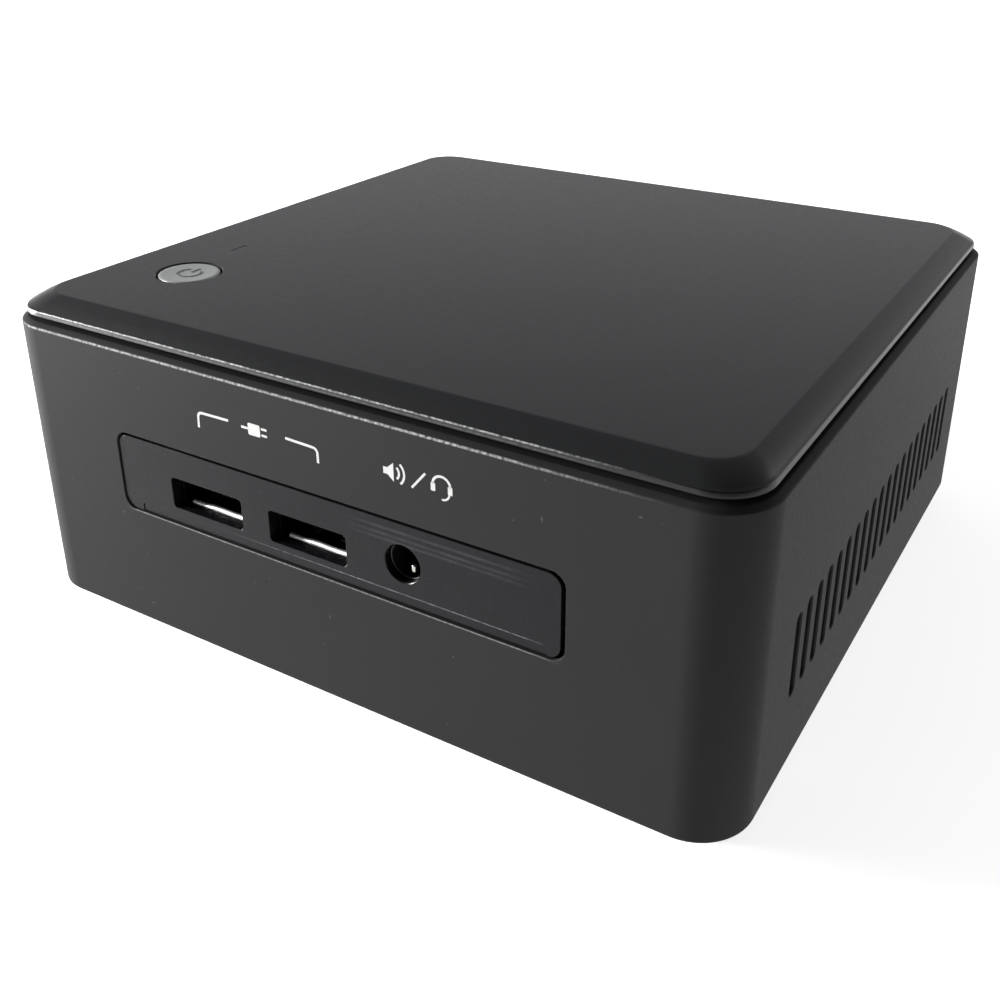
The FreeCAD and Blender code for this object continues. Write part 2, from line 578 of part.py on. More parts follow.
def make_can(label, x, z, facing, mouth, wide, high, deep, floor_count=1):
    """Folded steel socket shell; one or more bays open at `mouth`, closed at the back."""
    body = new_body(label)
    low = mouth if facing == "front" else f"({mouth}) - ({deep})"
    extrude(body, draw_rectangle, (wide, high, "can_radius"), along="y", across=x, up=z,
            low=low, length=deep)
    start = low if facing == "front" else f"({low}) + can_sheet"
    bay = "can_height - 2 * can_sheet" if floor_count > 1 else f"({high}) - 2 * can_sheet"
    for side in ((-1, 1) if floor_count > 1 else (0,)):
        shift = f"{side} * (({high}) / 2 - can_height / 2)"
        extrude(body, draw_rectangle, (f"({wide}) - 2 * can_sheet", bay, "can_radius - can_sheet"),
                along="y", across=x, up=f"({z}) + {shift}", low=start,
                length=f"({deep}) - can_sheet", cut=True)
    legs = [f"({x}) + {side} * (({wide}) / 2 - can_radius - can_sheet)" for side in (-1, 1)]
    for leg in legs:
        extrude(body, draw_rectangle, ("can_sheet", "board_under - can_sheet / 2 - "
                                       f"(({z}) + ({high}) / 2 - can_sheet)"),
                along="y", across=leg,
                up=f"(board_under - can_sheet / 2 + ({z}) + ({high}) / 2 - can_sheet) / 2",
                low=f"({low}) + ({deep}) / 3", length=f"({deep}) / 3")


def make_tongue(label, x, z, facing, mouth, deep):
    """Contact carrier of a type-A socket, in the upper half of its bay, from the back wall."""
    back = f"({mouth}) + ({deep}) - can_sheet - tongue_deep"
    if facing == "rear":
        back = f"({mouth}) - ({deep}) + can_sheet"
    node(box(f"({x}) - tongue_width / 2", back, f"({z}) + tongue_rise", "tongue_width",
             "tongue_deep", "tongue_thick"), label)


def make_round_jack(label, x, z, facing, mouth, body_wide, body_tall, body_deep, collar, bore,
                    bore_deep):
    """Plastic jack: a block behind the panel, a round collar in the panel and a blind bore."""
    body = new_body(label)
    panel = "bezel_deep - collar_back" if facing == "front" else "panel_thick + panel_lip"
    if facing == "front":
        block_low, collar_low, bore_low = f"({mouth}) + {panel}", mouth, mouth
    else:
        block_low = f"({mouth}) - ({panel}) - ({body_deep})"
        collar_low = f"({mouth}) - ({panel})"
        bore_low = f"({mouth}) - ({bore_deep})"
    extrude(body, draw_rectangle, (body_wide, body_tall), along="y", across=x, up=z,
            low=block_low, length=body_deep)
    extrude(body, draw_circle, (collar,), along="y", across=x, up=z, low=collar_low, length=panel)
    extrude(body, draw_circle, (bore,), along="y", across=x, up=z, low=bore_low,
            length=bore_deep, cut=True)


def make_front_sockets():
    """Two type-A sockets, the headset jack and the infrared receiver behind the front panel."""
    let(front_mouth="bezel_back + fit_gap", jack_mouth="bezel_front + collar_back")
    for step, side in enumerate(("left", "right")):
        x = f"port_left_x + {step} * port_pitch"
        make_can(f"front_port_shell_{side}", x, "port_z", "front", "front_mouth",
                 "can_width", "can_height", "can_deep")
        make_tongue(f"front_port_tongue_{side}", x, "port_z", "front", "front_mouth", "can_deep")
    make_round_jack("headset_jack", "jack_x", "jack_z", "front", "jack_mouth", "jack_body",
                    "jack_tall", "jack_deep", "collar_radius", "plug_radius", "plug_deep")
    node(block("sensor_x", "bezel_front + sensor_window + fit_gap + sensor_deep / 2",
               "jack_z - sensor_height / 2", "sensor_width", "sensor_deep", "sensor_height"),
         "infrared_receiver")


def make_rear_panel():
    """Rear panel with a hole for each socket and the exhaust grille above them."""
    body = new_body("rear_io_panel")
    let(lip_low="inner_rear - panel_lip / 2", mouth="panel_outside")
    extrude(body, draw_rectangle, ("panel_width - 2 * fit_gap", "panel_height - 2 * fit_gap",
                                   "panel_radius - fit_gap"),
            along="y", up="panel_z", low="inner_rear", length="panel_outside - inner_rear")
    extrude(body, draw_rectangle, ("panel_width + 2 * panel_lip", "panel_height + panel_lip",
                                   "panel_radius"),
            along="y", up="panel_z", low="lip_low", length="panel_lip / 2")
    let(video_z="board_under - video_height / 2 - 1", network_z="board_under - network_height / 2")
    let(stack_z="board_under - stack_height / 2", inlet_z="board_under - inlet_tall / 2")
    let(sound_z="board_under - jack_body / 2")
    holes = [("inlet_x", "inlet_z", draw_circle, ("inlet_collar + cut_gap",)),
             ("sound_x", "sound_z", draw_circle, ("collar_radius + cut_gap",)),
             ("video_x", "video_z", draw_rectangle,
              ("video_width + 2 * cut_gap", "video_height + 2 * cut_gap", "can_radius")),
             ("network_x", "network_z", draw_rectangle,
              ("network_width + 2 * cut_gap", "network_height + 2 * cut_gap", "can_radius")),
             ("stack_x", "stack_z", draw_rectangle,
              ("can_width + 2 * cut_gap", "stack_height + 2 * cut_gap", "can_radius"))]
    for x, z, draw, sizes in holes:
        extrude(body, draw, sizes, along="y", across=x, up=z, low="lip_low",
                length="panel_outside - lip_low", cut=True)
    bar = extrude(body, draw_slot, ("grille_width", "grille_height"), along="y", across="grille_x",
                  up="grille_low + grille_height / 2", low="lip_low",
                  length="panel_outside - lip_low", cut=True)
    linear_pattern(body, bar, "X_Axis", "grille_pitch", "grille_count")


def make_rear_sockets():
    """Power inlet, video, network, stacked type-A and sound sockets on the board's rear edge."""
    make_round_jack("power_inlet", "inlet_x", "inlet_z", "rear", "mouth", "inlet_width",
                    "inlet_tall", "inlet_deep", "inlet_collar", "inlet_bore",
                    "inlet_pin_length + can_sheet")
    node(cylinder("inlet_x", "mouth - inlet_pin_length - can_sheet", "inlet_z", "inlet_pin",
                  "inlet_pin_length", along="y"), "power_inlet_pin")
    make_round_jack("sound_jack", "sound_x", "sound_z", "rear", "mouth", "jack_body", "jack_body",
                    "jack_deep", "collar_radius", "plug_radius", "plug_deep")
    make_can("video_port_shell", "video_x", "video_z", "rear", "mouth", "video_width",
             "video_height", "video_deep")
    node(block("video_x", "mouth - video_deep + can_sheet + (video_deep - 2) / 2",
               "video_z - video_tongue_thick / 2", "video_tongue", "video_deep - 2",
               "video_tongue_thick"), "video_port_tongue")
    make_can("network_jack_shell", "network_x", "network_z", "rear", "mouth", "network_width",
             "network_height", "network_deep")
    insert = new_body("network_jack_insert")
    let(insert_low="mouth - network_deep + can_sheet + fit_gap")
    let(insert_deep="network_deep - can_sheet - 2 * fit_gap")
    extrude(insert, draw_rectangle, ("network_width - 2 * can_sheet - 2 * fit_gap",
                                     "network_height - 2 * can_sheet - 2 * fit_gap"),
            along="y", across="network_x", up="network_z", low="insert_low", length="insert_deep")
    let(bay_low="insert_low + insert_deep - network_bay_deep")
    extrude(insert, draw_rectangle, ("network_bay", "network_bay_height"), along="y",
            across="network_x", up="network_z + network_notch_height / 2", low="bay_low",
            length="network_bay_deep", cut=True)
    extrude(insert, draw_rectangle, ("network_notch", "network_notch_height"), along="y",
            across="network_x", up="network_z - network_bay_height / 2", low="bay_low",
            length="network_bay_deep", cut=True)
    make_can("rear_port_shell", "stack_x", "stack_z", "rear", "mouth", "can_width",
             "stack_height", "can_deep", floor_count=2)
    for side, name in ((-1, "lower"), (1, "upper")):
        make_tongue(f"rear_port_tongue_{name}", "stack_x",
                    f"stack_z + {side} * (stack_height / 2 - can_height / 2)", "rear", "mouth",
                    "can_deep")


# ---------------------------------------------------------------- cooling

def make_processor_cooling():
    """Processor, the copper plate on it, the flat heat pipe and the fin stack at the grille."""
    let(die_top="board_top + cpu_thick + die_thick", plate_top="die_top + spreader_thick")
    let(pipe_top="plate_top + pipe_thick", fin_y="inner_rear - panel_lip / 2 - fin_deep / 2 - fit_gap")
    node(fuse(block("cpu_x", "cpu_y", "board_top", "cpu_width", "cpu_length", "cpu_thick"),
              block("cpu_x", "cpu_y", "board_top + cpu_thick", "die_side", "die_side",
                    "die_thick")), "processor")
    node(block("cpu_x", "cpu_y", "die_top", "spreader_width", "spreader_length",
               "spreader_thick"), "heatsink_plate")

    pipe = new_body("heat_pipe")
    spine = new_sketch(pipe, "z", "cpu_x", "fin_y", "plate_top + pipe_thick / 2")
    start = number("cpu_y - spreader_length / 2 - fin_y")
    bend, end = number("pipe_bend"), number("pipe_end - cpu_x")
    spine.addGeometry(Part.LineSegment(point(0, start), point(0, -bend)), False)
    turn = Part.Circle(point(bend, -bend), FreeCAD.Vector(0, 0, 1), bend)
    spine.addGeometry(Part.ArcOfCircle(turn, math.pi / 2, math.pi), False)
    spine.addGeometry(Part.LineSegment(point(bend, 0), point(end, 0)), False)
    spine.addConstraint(Sketcher.Constraint("Tangent", 0, 2, 1, 2))
    spine.addConstraint(Sketcher.Constraint("Tangent", 1, 1, 2, 1))
    spine.addConstraint(Sketcher.Constraint("Vertical", 0))
    spine.addConstraint(Sketcher.Constraint("Horizontal", 2))
    spine.addConstraint(Sketcher.Constraint("PointOnObject", 0, 1, -2))
    spine.addConstraint(Sketcher.Constraint("PointOnObject", 2, 2, -1))
    dimension(spine, "bend", "pipe_bend", "Radius", 1)
    dimension(spine, "start", "fin_y - cpu_y + spreader_length / 2", "DistanceY", 0, 1, -1, 1)
    dimension(spine, "reach", "pipe_end - cpu_x", "DistanceX", -1, 1, 2, 2)
    profile = new_sketch(pipe, "y", "cpu_x", "plate_top + pipe_thick / 2",
                         "cpu_y - spreader_length / 2")
    draw_rectangle(profile, "pipe_width", "pipe_thick", "pipe_thick / 2.2")
    sweep = pipe.newObject("PartDesign::AdditivePipe", "sweep")
    sweep.Profile = profile
    sweep.Spine = (spine, ["Edge1", "Edge2", "Edge3"])
    pipe.Tip = sweep

    fins = new_body("heatsink_fins")
    let(stack_width="(fin_count - 1) * fin_pitch + fin_thick", fin_mid="fin_x + stack_width / 2")
    for low in ("pipe_top", "fin_top - fin_sheet"):
        extrude(fins, draw_rectangle, ("stack_width", "fin_deep"), across="fin_mid", up="fin_y",
                low=low, length="fin_sheet")
    fin = extrude(fins, draw_rectangle, ("fin_thick", "fin_deep"), across="fin_x + fin_thick / 2",
                  up="fin_y", low="pipe_top", length="fin_top - pipe_top")
    linear_pattern(fins, fin, "X_Axis", "fin_pitch", "fin_count")


def make_blower():
    """Flat blower: housing with an open outlet, cover, motor, bearing, shaft and impeller."""
    let(blower_z="board_top + blower_low", floor_top="blower_wall", rim="blower_height - blower_lid")
    housing = new_body("blower_housing")
    extrude(housing, draw_scroll, ("blower_radius", "blower_outlet"), length="rim")
    extrude(housing, draw_scroll, ("blower_radius - blower_wall", "blower_outlet + 1"),
            low="floor_top", length="rim - floor_top", cut=True)
    move_to(housing, "fan_x", "fan_y", "blower_z")
    cover = new_body("blower_cover")
    extrude(cover, draw_scroll, ("blower_radius", "blower_outlet"), low="rim", length="blower_lid")
    extrude(cover, draw_circle, ("inlet_radius",), low="rim", length="blower_lid", cut=True)
    move_to(cover, "fan_x", "fan_y", "blower_z")

    motor = cut(cylinder(0, 0, "floor_top", "motor_radius", "motor_height"),
                cylinder(0, 0, "floor_top", "bearing_radius", "motor_height"))
    bearing = cut(cylinder(0, 0, "floor_top", "bearing_radius", "bearing_height"),
                  cylinder(0, 0, "floor_top", "shaft_radius + shaft_play", "bearing_height"))
    let(hub_top="blade_low + blade_height", hub_under="hub_top - hub_wall")
    shaft = cylinder(0, 0, "floor_top + shaft_play", "shaft_radius",
                     "hub_under - floor_top - shaft_play")
    for piece, label in ((motor, "fan_motor"), (bearing, "fan_bearing"), (shaft, "fan_shaft")):
        move_to(piece, "fan_x", "fan_y", "blower_z")
        node(piece, label)
    move_to(shaft, "fan_x", "fan_y", "blower_z + floor_top + shaft_play")

    rotor = new_body("fan_impeller")
    extrude(rotor, draw_circle, ("hub_radius",), low="blade_low", length="blade_height")
    extrude(rotor, draw_circle, ("hub_radius - hub_wall",), low="blade_low",
            length="blade_height - hub_wall", cut=True)
    let(blade_start="hub_radius - hub_wall * 1.1")
    blade = extrude(rotor, draw_rectangle, ("impeller_radius - blade_start", "blade_thick"),
                    across="(impeller_radius + blade_start) / 2 - rotor_gap", up="blade_offset",
                    low="blade_low", length="blade_height")
    ring = rotor.newObject("PartDesign::PolarPattern", "blades")
    ring.Originals = [blade]
    ring.Axis = (origin_part(rotor, "Z_Axis"), [""])
    ring.Angle = 360
    bind(ring, Occurrences="blade_count")
    rotor.Tip = ring
    move_to(rotor, "fan_x", "fan_y", "blower_z")


# ---------------------------------------------------------------- below the board

def make_memory():
    """Edge socket with two side arms, and the memory module in it."""
    let(module_low="board_under - memory_drop - memory_thick")
    let(module_back="memory_y + socket_bite", module_front="module_back - memory_length")
    body = block("memory_x", "memory_y + socket_deep / 2", "board_under - socket_tall",
                 "socket_length", "socket_deep", "socket_tall")
    slot = block("memory_x", "memory_y + socket_bite / 2", "module_low - slot_play",
                 "memory_width + 2 * slot_play", "socket_bite + 2 * slot_play",
                 "memory_thick + 2 * slot_play")
    arms = []
    for side in (-1, 1):
        arms.append(block(f"memory_x + {side} * (socket_length - arm_thick) / 2",
                          "memory_y - arm_length / 2", "board_under - socket_tall", "arm_thick",
                          "arm_length", "socket_tall"))
    node(cut(fuse(body, *arms), slot), "memory_socket")
    pieces = [block("memory_x", "(module_front + module_back) / 2", "module_low",
                    "memory_width", "memory_length", "memory_thick")]
    for step in range(int(SIZES["chip_count"])):
        pieces.append(block(f"memory_x + ({step} - (chip_count - 1) / 2) * chip_pitch",
                            "module_front + memory_length / 2 - 2", "module_low - chip_thick",
                            "chip_width", "chip_length", "chip_thick"))
    node(fuse(*pieces), "memory_module")


def make_radio():
    """Radio card in its edge socket, the two antennas under the deck and their thin leads."""
    let(card_low="board_under - card_drop - card_thick", card_back="card_y + card_bite")
    let(card_front="card_back - card_length")
    socket = block("card_x", "card_y + card_socket_deep / 2", "board_under - card_socket_tall",
                   "card_width", "card_socket_deep", "card_socket_tall")
    slot = block("card_x", "card_y + card_bite / 2", "card_low - slot_play",
                 "card_width + 2 * slot_play", "card_bite + 2 * slot_play",
                 "card_thick + 2 * slot_play")
    node(cut(socket, slot), "radio_socket")
    card = block("card_x", "(card_front + card_back) / 2", "card_low", "card_width",
                 "card_length", "card_thick")
    shield = block("card_x", "(card_front + card_back) / 2", "card_low - shield_thick",
                   "shield_width", "shield_length", "shield_thick")
    node(fuse(card, shield), "radio_card")
    let(antenna_y="front_face + antenna_from_front", antenna_low="deck_under - antenna_thick")
    for side, name in ((-1, "left"), (1, "right")):
        node(block(f"{side} * antenna_x", "antenna_y", "antenna_low", "antenna_length",
                   "antenna_width", "antenna_thick"), f"antenna_{name}")


def lead(label, places):
    """Thin coaxial lead: straight runs joined by tangent arcs through a list of places."""
    points = [FreeCAD.Vector(*(number(value) for value in place)) for place in places]
    edges, last = [], points[0]
    for before, here, after in zip(points, points[1:], points[2:]):
        to_here, to_after = here - before, after - here
        turn = to_here.getAngle(to_after)
        reach = 0.45 * min(to_here.Length, to_after.Length)
        first = here - to_here * (reach / to_here.Length)
        second = here + to_after * (reach / to_after.Length)
        inward = (to_after / to_after.Length - to_here / to_here.Length).normalize()
        radius = reach / math.tan(turn / 2)
        middle = here + inward * (radius / math.cos(turn / 2) - radius)
        edges.append(Part.LineSegment(last, first).toShape())
        edges.append(Part.Arc(first, middle, second).toShape())
        last = second
    edges.append(Part.LineSegment(last, points[-1]).toShape())
    start = points[1] - points[0]
    ring = Part.Wire([Part.makeCircle(number("lead_radius"), points[0], start)])
    piece = doc.addObject("Part::Feature", label)
    piece.Shape = Part.Wire(edges).makePipeShell([ring], True, False)
    node(piece, label)


def make_leads():
    """Leads from the antennas, down past the board's front edge, to the radio card."""
    let(lead_top="antenna_low - lead_radius", lead_front="(board_front + bezel_back) / 2")
    let(lead_low="board_under - 7", card_edge="card_front + 2")
    lead("antenna_lead_left",
         [("-antenna_x - antenna_length / 2 + 4", "antenna_y", "lead_top"),
          ("port_left_x - 11", "lead_front + 1", "lead_top - 2"),
          ("port_left_x - 11", "lead_front", "board_top"),
          ("port_left_x - 11", "lead_front + 1", "lead_low"),
          ("card_x + 4", "card_edge - 8", "lead_low"),
          ("card_x + 4", "card_edge", "card_low - 0.7")])
    lead("antenna_lead_right",
         [("antenna_x - antenna_length / 2 + 4", "antenna_y", "lead_top"),
          ("antenna_x - antenna_length / 2 - 10", "antenna_y + 6", "lead_top - 3"),
          ("port_left_x - 2", "antenna_y + 7", "lead_top - 3"),
          ("port_left_x - 13.5", "lead_front + 1", "lead_top - 5"),
          ("port_left_x - 13.5", "lead_front", "board_top"),
          ("port_left_x - 13.5", "lead_front + 1", "lead_low"),
          ("card_x - 4", "card_edge - 8", "lead_low"),
          ("card_x - 4", "card_edge", "card_low - 0.7")])


def make_clock_cell():
    """Coin cell in a round plastic holder."""
    let(holder_low="board_under - cell_thick - cell_wall")
    let(cell_y="cell_from_front - half_depth")
    holder = cylinder("cell_x", "cell_y", "holder_low", "cell_radius + cell_play + cell_wall",
                      "cell_thick + cell_wall")
    room = cylinder("cell_x", "cell_y", "holder_low", "cell_radius + cell_play",
                    "cell_thick + cell_play")
    node(cut(holder, room), "coin_cell_holder")
    node(cylinder("cell_x", "cell_y", "holder_low + cell_play / 2", "cell_radius", "cell_thick"),
         "coin_cell")


def make_drive():
    """Drive in a folded steel cage on the bottom cover, with its plug, ribbon and header."""
    let(drive_low="cover_top + drive_lift", drive_top="drive_low + drive_height")
    let(cage_inner="drive_width + 2 * cage_gap", cage_outer="cage_inner + 2 * cage_sheet")
    let(cage_top="drive_top + cage_gap + cage_sheet", cage_height="cage_top - cover_top")
    screw_z = "drive_low + drive_screw_z"
    drive = block(0, "drive_y", "drive_low", "drive_length", "drive_width", "drive_height")
    cage = block(0, "drive_y", "cover_top", "cage_length", "cage_outer", "cage_height")
    feet = block(0, "drive_y", "cover_top", "cage_foot_length", "cage_outer + 2 * cage_foot",
                 "cage_sheet")
    inside = block(0, "drive_y", "cover_top", "cage_length", "cage_inner",
                   "cage_height - cage_sheet")
    window = block(0, "drive_y", "cage_top - cage_sheet", "window_length", "window_width",
                   "cage_sheet")
    cage_holes, drive_holes, screws = [], [], []
    for x in ("-drive_screw_x", "drive_screw_x"):
        for side in (-1, 1):
            wall_y = f"drive_y + {side} * cage_outer / 2"
            shank = "drive_screw_length + cage_sheet"
            start = wall_y if side < 0 else f"{wall_y} - ({shank})"
            head = f"{wall_y} - drive_head" if side < 0 else wall_y
            screws.append(fuse(cylinder(x, head, screw_z, "head_radius", "drive_head", "y"),
                               cylinder(x, start, screw_z, "screw_radius", shank, "y")))
            hole = wall_y if side < 0 else f"{wall_y} - cage_sheet"
            cage_holes.append(cylinder(x, hole, screw_z, "drive_hole", "cage_sheet", "y"))
            deep = f"drive_y + {side} * drive_width / 2"
            if side > 0:
                deep += " - drive_hole_deep"
            drive_holes.append(cylinder(x, deep, screw_z, "drive_hole", "drive_hole_deep", "y"))
    node(cut(drive, *drive_holes), "storage_drive")
    node(cut(fuse(cage, feet), inside, window, *cage_holes), "drive_cage")
    node(group(*screws), "drive_screws")

    let(plug_end="-drive_length / 2 - fit_gap", plug_low="drive_low + 1")
    let(ribbon_x="plug_end - ribbon_out", ribbon_z="board_under - ribbon_drop")
    let(header_x="ribbon_x + ribbon_reach + header_deep / 2")
    node(box("plug_end - plug_thick", "plug_y - plug_width / 2", "plug_low", "plug_thick",
             "plug_width", "plug_tall"), "drive_plug")
    upright = block("ribbon_x", "plug_y", "plug_low + plug_tall", "ribbon_thick", "ribbon_width",
                    "ribbon_z + ribbon_thick - plug_low - plug_tall")
    flat = box("ribbon_x", "plug_y - ribbon_width / 2", "ribbon_z",
               "header_x - header_deep / 2 - ribbon_x", "ribbon_width", "ribbon_thick")
    node(fuse(upright, flat), "drive_ribbon")
    node(block("header_x", "plug_y", "board_under - header_tall", "header_deep",
               "ribbon_width + 2", "header_tall"), "drive_header")


def check_and_write():
    """Stop if any feature failed or cut nothing; then write one file for each sub-part."""
    doc.recompute()
    for thing in doc.Objects:
        if "Invalid" in thing.State or "Error" in thing.State:
            raise SystemExit(f"{thing.Name} failed: {thing.State}")
        if thing.TypeId == "PartDesign::Pocket":
            if thing.BaseFeature.Shape.Volume - thing.Shape.Volume < 1e-6:
                raise SystemExit(f"{thing.Name} cuts nothing")
    os.makedirs("parts", exist_ok=True)
    for label, thing in NODES.items():
        if thing.Shape.isNull() or not thing.Shape.isValid():
            raise SystemExit(f"{label} has no valid shape")
        thing.Shape.exportStep(f"parts/{label}.step")
        extent = thing.Shape.BoundBox
        print(f"{label:26s} solids {len(thing.Shape.Solids)} volume {thing.Shape.Volume:10.2f} "
              f"z {extent.ZMin:6.2f} to {extent.ZMax:6.2f}")
    print(len(NODES), "nodes")


make_shell()
make_lid()
make_bezel()
make_bottom()
make_board()
make_power_button()
make_activity_light()
make_front_sockets()
make_rear_panel()
make_rear_sockets()
make_processor_cooling()
make_blower()
make_memory()
make_radio()
make_leads()
make_clock_cell()
make_drive()
check_and_write()
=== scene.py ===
"""Looks of a small desktop computer: satin black case, bevelled lid, sockets and vents.

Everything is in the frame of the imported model: +Z up, the front towards -Y, the feet on
z = 0. Points are worked out in millimetres and become metres when a piece is made.
"""
import json
import math

import bmesh
import bpy
import numpy as np
from mathutils import Matrix, Vector


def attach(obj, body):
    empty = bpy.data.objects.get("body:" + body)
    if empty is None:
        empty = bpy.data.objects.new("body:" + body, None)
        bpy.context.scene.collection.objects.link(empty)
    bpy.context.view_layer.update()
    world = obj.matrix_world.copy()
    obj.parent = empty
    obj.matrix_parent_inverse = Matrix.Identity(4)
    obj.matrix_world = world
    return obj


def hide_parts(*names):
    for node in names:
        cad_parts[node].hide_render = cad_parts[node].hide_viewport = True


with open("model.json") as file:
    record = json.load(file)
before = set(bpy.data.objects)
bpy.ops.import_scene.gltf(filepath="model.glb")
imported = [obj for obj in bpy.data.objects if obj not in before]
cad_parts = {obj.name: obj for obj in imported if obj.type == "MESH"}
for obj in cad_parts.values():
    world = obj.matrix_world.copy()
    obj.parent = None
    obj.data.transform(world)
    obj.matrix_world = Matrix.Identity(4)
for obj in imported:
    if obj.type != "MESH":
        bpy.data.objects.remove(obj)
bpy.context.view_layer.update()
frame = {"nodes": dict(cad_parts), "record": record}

MM = 0.001
CHASSIS, BUTTON = "chassis", "button"
HALF_X, HALF_Y = 57.5, 55.5          # half of the case's width and depth
CORNER = 7.6                         # corner radius of the case
FLOOR_GAP, DECK_TOP, LID_LOW, LID_TOP = 3.5, 47.9, 48.3, 51.0
BUTTON_X, BUTTON_Y = -40.5, -34.45
LIGHT_X, LIGHT_Y = -42.5, -21.6
PANEL_FRONT, PANEL_Z = -55.25, 28.6  # front plane and middle level of the front socket panel
SOCKET_X, SOCKET_Z = (-19.8, -2.2), 27.44
JACK_X, JACK_Z = 13.0, 28.5
STACK_X, VIDEO_X, NETWORK_X = -21.5, 22.0, -2.0
REAR_PLANE = HALF_Y - 0.6            # rear panel's face, which the rear sockets end at
CORNERS = ((-48, -46), (48, -46), (-48, 46), (48, 46))  # screws, posts and feet
FLAG = (0.74, -0.66, 0.12)           # direction of the black flag, from the object
INK_DEPTH = (0.0, 0.01)              # printed signs: a film 0.01 mm thick
SLOT_OF = {item["node"]: item["material_slot"] for item in frame["record"]["subparts"]}


# ---------------------------------------------------------------- shader trees

def linear(code):
    """sRGB hex colour, such as '4b4d4b', as linear RGBA."""
    values = [int(code[i:i + 2], 16) / 255 for i in (0, 2, 4)]
    return [v / 12.92 if v <= 0.04045 else ((v + 0.055) / 1.055) ** 2.4 for v in values] + [1.0]


def put(tree, kind, settings=None, links=None, **attributes):
    """Add a node; `settings` fills its sockets, `links` feeds them, attributes are its own."""
    item = tree.nodes.new(kind)
    for name, value in attributes.items():
        setattr(item, name, value)
    for key, value in (settings or {}).items():
        item.inputs[key].default_value = value
    for key, source in (links or {}).items():
        tree.links.new(source, item.inputs[key])
    return item


NOISE, CELLS, WAVES = "ShaderNodeTexNoise", "ShaderNodeTexVoronoi", "ShaderNodeTexWave"


class Finish:
    """A material and the few moves that every finish here is made from."""

    def __init__(self, name, colour, roughness, metallic=0.0, **sockets):
        self.material = bpy.data.materials.new(name)
        self.material.use_nodes = True
        self.tree = self.material.node_tree
        self.tree.nodes.clear()
        self.colour, self.roughness = colour, roughness
        self.shader = put(self.tree, "ShaderNodeBsdfPrincipled",
                          {"Base Color": linear(colour), "Roughness": roughness,
                           "Metallic": metallic})
        for key, value in sockets.items():
            self.shader.inputs[key.replace("_", " ")].default_value = value
        put(self.tree, "ShaderNodeOutputMaterial", links={"Surface": self.shader.outputs[0]})
        self.paint = None
        self.normal = None

    def pattern(self, kind, size_mm, settings=None, stretch=(1, 1, 1), shift=(0, 0, 0), **own):
        """A texture on Object coordinates, moved by `shift` in mm, `size_mm` to its repeat."""
        where = put(self.tree, "ShaderNodeTexCoord")
        about = put(self.tree, "ShaderNodeMapping", {"Location": [-s * MM for s in shift]},
                    {"Vector": where.outputs["Object"]})
        scaled = put(self.tree, "ShaderNodeMapping", {"Scale": stretch},
                     {"Vector": about.outputs[0]})
        return put(self.tree, kind, {"Scale": 1 / (size_mm * MM), **(settings or {})},
                   {"Vector": scaled.outputs[0]}, **own).outputs

    def span(self, source, low, high, first=0.3, last=0.7):
        """Map a pattern from first..last onto low..high."""
        return put(self.tree, "ShaderNodeMapRange", {"From Min": first, "From Max": last,
                                                     "To Min": low, "To Max": high},
                   {"Value": source}).outputs[0]

    def sheen(self, source, spread):
        """Vary the roughness by a pattern, `spread` either way."""
        level = self.span(source, self.roughness - spread, self.roughness + spread)
        self.tree.links.new(level, self.shader.inputs["Roughness"])

    def tint(self, source, colour):
        """Blend towards another colour by a pattern from 0 to 1."""
        mix = put(self.tree, "ShaderNodeMix", data_type="RGBA")
        if self.paint:
            self.tree.links.new(self.paint, mix.inputs["A"])
        else:
            mix.inputs["A"].default_value = linear(self.colour)
        mix.inputs["B"].default_value = linear(colour)
        self.tree.links.new(source, mix.inputs["Factor"])
        self.paint = mix.outputs["Result"]
        self.tree.links.new(self.paint, self.shader.inputs["Base Color"])

    def emboss(self, source, depth_mm, strength=1.0):
        """Raise the surface by a pattern of a real depth."""
        bump = put(self.tree, "ShaderNodeBump", {"Strength": strength, "Distance": depth_mm * MM},
                   {"Height": source})
        if self.normal:
            self.tree.links.new(self.normal, bump.inputs["Normal"])
        self.normal = bump.outputs[0]
        self.tree.links.new(self.normal, self.shader.inputs["Normal"])


def spark_eroded_abs(name, colour, worn, roughness, gloss):
    """ABS moulded in a spark-eroded tool: a fine grain, and a thin scatter of dust."""
    finish = Finish(name, colour, roughness, IOR=1.5, Specular_IOR_Level=gloss)
    # The real grain is about 0.1 mm, drawn at 0.4 mm so that it shows.
    finish.emboss(finish.pattern(NOISE, 0.4, {"Detail": 3.0, "Roughness": 0.6})["Fac"], 0.010, 0.45)
    finish.sheen(finish.pattern(NOISE, 0.9, {"Detail": 2.0})["Fac"], 0.025)
    finish.tint(finish.pattern(NOISE, 30.0, {"Detail": 3.0})["Fac"], worn)
    # Dust specks of about 0.15 mm, drawn only where two patterns meet.
    specks = finish.span(finish.pattern(NOISE, 0.6, {"Detail": 0.0})["Fac"], 0.0, 0.3, 0.905, 0.915)
    finish.tint(specks, "777775")
    return finish


def band(finish, **limits):
    """1 inside the limits of each axis, given as (out, in, in, out) in millimetres."""
    where = put(finish.tree, "ShaderNodeTexCoord")
    xyz = put(finish.tree, "ShaderNodeSeparateXYZ", links={"Vector": where.outputs["Object"]})
    total = None
    for axis, (low_out, low_in, high_in, high_out) in limits.items():
        for outside, inside in ((low_out, low_in), (high_out, high_in)):
            edge = put(finish.tree, "ShaderNodeMapRange",
                       {"From Min": outside * MM, "From Max": inside * MM},
                       {"Value": xyz.outputs[axis]}, interpolation_type="SMOOTHSTEP").outputs[0]
            if total is None:
                total = edge
            else:
                total = put(finish.tree, "ShaderNodeMath", links={0: total, 1: edge},
                            operation="MULTIPLY").outputs[0]
    return total


